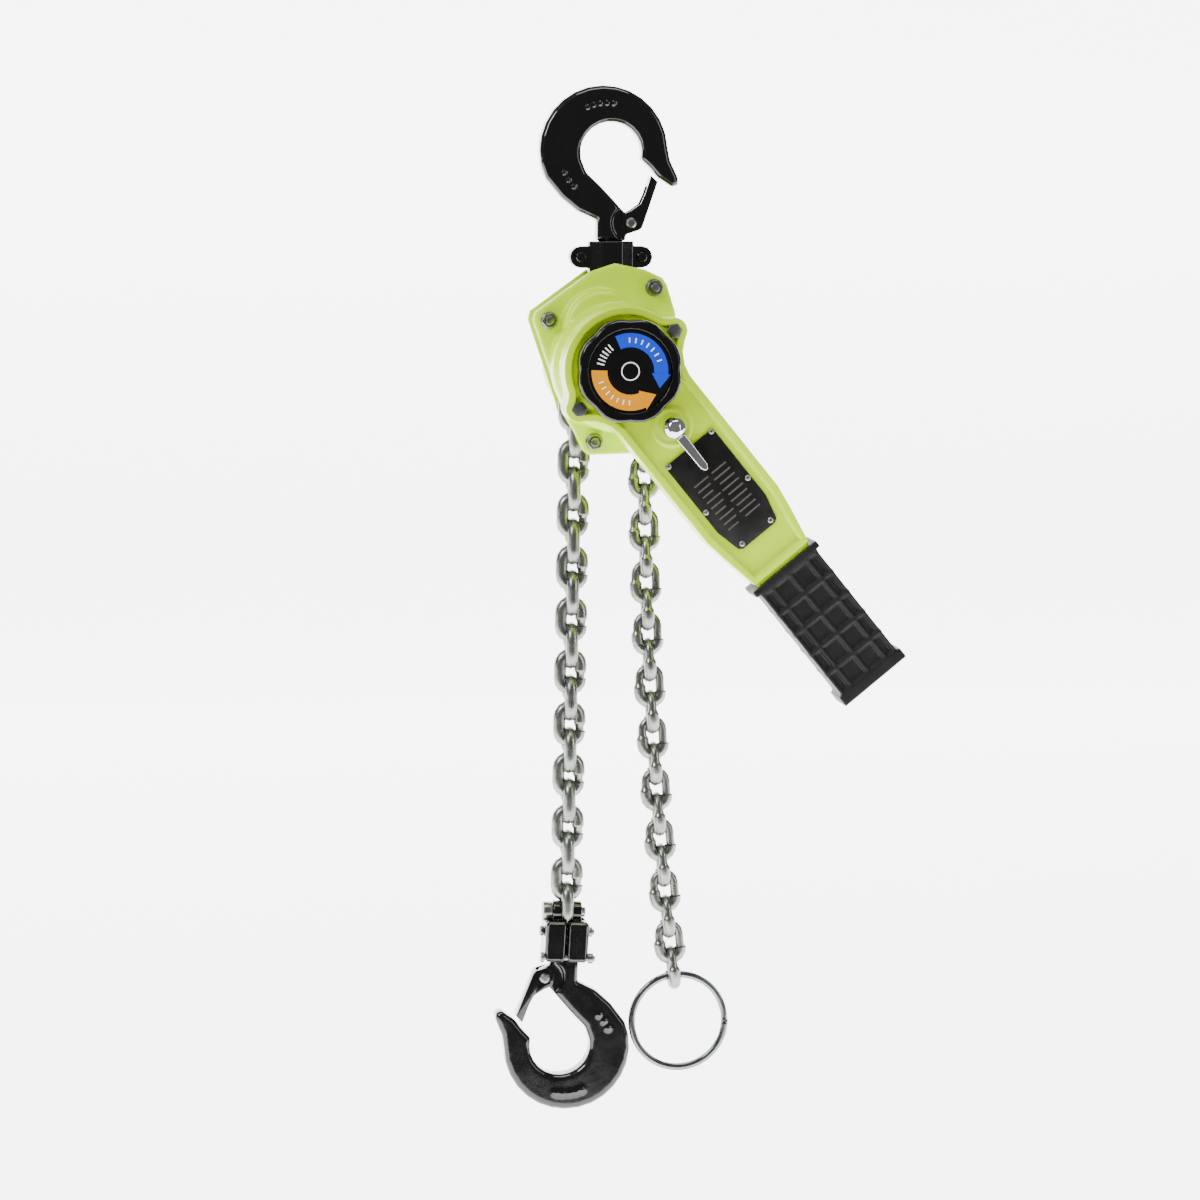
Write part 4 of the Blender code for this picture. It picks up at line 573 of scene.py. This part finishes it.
# ---- Handwheel and dial ----
# A gloss black moulded wheel with eight broad lobes. Its sunk dial carries two curved arrows, blue for
# one way and amber for the other; the middle is left plain.
gloss_moulding = finish("gloss_black_moulding", "#030303", "#050505", 20.0, 2.0, 0.03, (0.14, 0.22),
                        lacquer=0.15, shine=0.4)
piece_from(rounded("moulded_handwheel", ["handwheel"], 0.6, 4), "moulded_handwheel", gloss_moulding,
           "drive", ["handwheel"])
piece_from(machined("printed_dial", ["dial_plate"], 0.25), "printed_dial", gloss_moulding, "drive",
           ["dial_plate"])
front_place = Matrix.Translation(AXIS) @ Matrix(((1.0, 0.0, 0.0), (0.0, 0.0, 1.0),
                                                 (0.0, -1.0, 0.0))).transposed().to_4x4()
blue_print = finish("blue_print", "#0A3FD0", "#0838BE", 10.0, 0.8, 0.01, (0.38, 0.46), shine=0.2)
amber_print = finish("amber_print", "#D98E00", "#D18800", 10.0, 0.8, 0.01, (0.5, 0.6), shine=0.05)
DIAL_TOP = 0.0888
for label, ink, inner, outer, start, stop, tip_r, tip_turn in (
        ("blue", blue_print, 15.8, 25.2, 114.0, -5.0, 22.6, -30.0),
        ("amber", amber_print, 15.4, 26.0, 178.0, 293.0, 23.0, 318.0)):
    arrow = bmesh.new()
    band = [arrow.verts.new((radius / 1000 * math.cos(math.radians(start)),
                             radius / 1000 * math.sin(math.radians(start)), DIAL_TOP))
            for radius in (inner, outer)]
    arrow.edges.new(band)
    bmesh.ops.spin(arrow, geom=arrow.edges[:], cent=(0.0, 0.0, 0.0), axis=(0.0, 0.0, 1.0),
                   angle=math.radians(stop - start), steps=30, use_merge=False)
    swing = math.radians(stop)
    barb = [arrow.verts.new((radius / 1000 * math.cos(swing), radius / 1000 * math.sin(swing), DIAL_TOP))
            for radius in (inner - 1.6, outer + 1.7)]
    point = arrow.verts.new((tip_r / 1000 * math.cos(math.radians(tip_turn)),
                             tip_r / 1000 * math.sin(math.radians(tip_turn)), DIAL_TOP))
    arrow.faces.new((barb[0], barb[1], point))
    bmesh.ops.recalc_face_normals(arrow, faces=arrow.faces)
    bmesh.ops.solidify(arrow, geom=arrow.faces[:], thickness=0.0002)
    bmesh.ops.translate(arrow, verts=arrow.verts, vec=(0.0, 0.0, 0.00025))
    arrow_mesh = settled(arrow, label + "_arrow", front_place)
    piece_from(arrow_mesh, label + "_arrow", ink, "drive", [])

marks = bmesh.new()
for radius, first, last, count, long in ((20.5, 92.0, 20.0, 7, 3.4), (20.7, 200.0, 268.0, 7, 3.4),
                                         (20.5, 130.0, 166.0, 6, 5.0)):
    for number in range(count):
        turn = math.radians(first + (last - first) * number / (count - 1))
        mark = bmesh.ops.create_cube(marks, size=0.001)["verts"]
        bmesh.ops.scale(marks, verts=mark, vec=(long, 0.9, 0.2))
        bmesh.ops.rotate(marks, verts=mark, cent=(0.0, 0.0, 0.0), matrix=Matrix.Rotation(turn, 3, "Z"))
        bmesh.ops.translate(marks, verts=mark, vec=(radius / 1000 * math.cos(turn),
                                                    radius / 1000 * math.sin(turn), DIAL_TOP + 0.00045))
hub_line = bmesh.ops.create_circle(marks, segments=40, radius=0.0062)["verts"]
hub_edges = [e for e in marks.edges if e.verts[0] in hub_line and e.verts[1] in hub_line]
hub_wide = bmesh.ops.extrude_edge_only(marks, edges=hub_edges)["geom"]
hub_inner = [v for v in hub_wide if isinstance(v, bmesh.types.BMVert)]
bmesh.ops.scale(marks, verts=hub_inner, vec=(0.88, 0.88, 1.0))
bmesh.ops.translate(marks, verts=hub_line + hub_inner, vec=(0.0, 0.0, DIAL_TOP + 0.0002))
hub_ring = [f for f in marks.faces if all(v in hub_line or v in hub_inner for v in f.verts)]
bmesh.ops.solidify(marks, geom=hub_ring, thickness=0.0002)
white_print = finish("white_print", "#F2F2EE", "#E6E6E2", 6.0, 0.6, 0.01, (0.45, 0.55), shine=0.2)
piece_from(settled(marks, "dial_marks", front_place), "dial_marks", white_print, "drive", [])
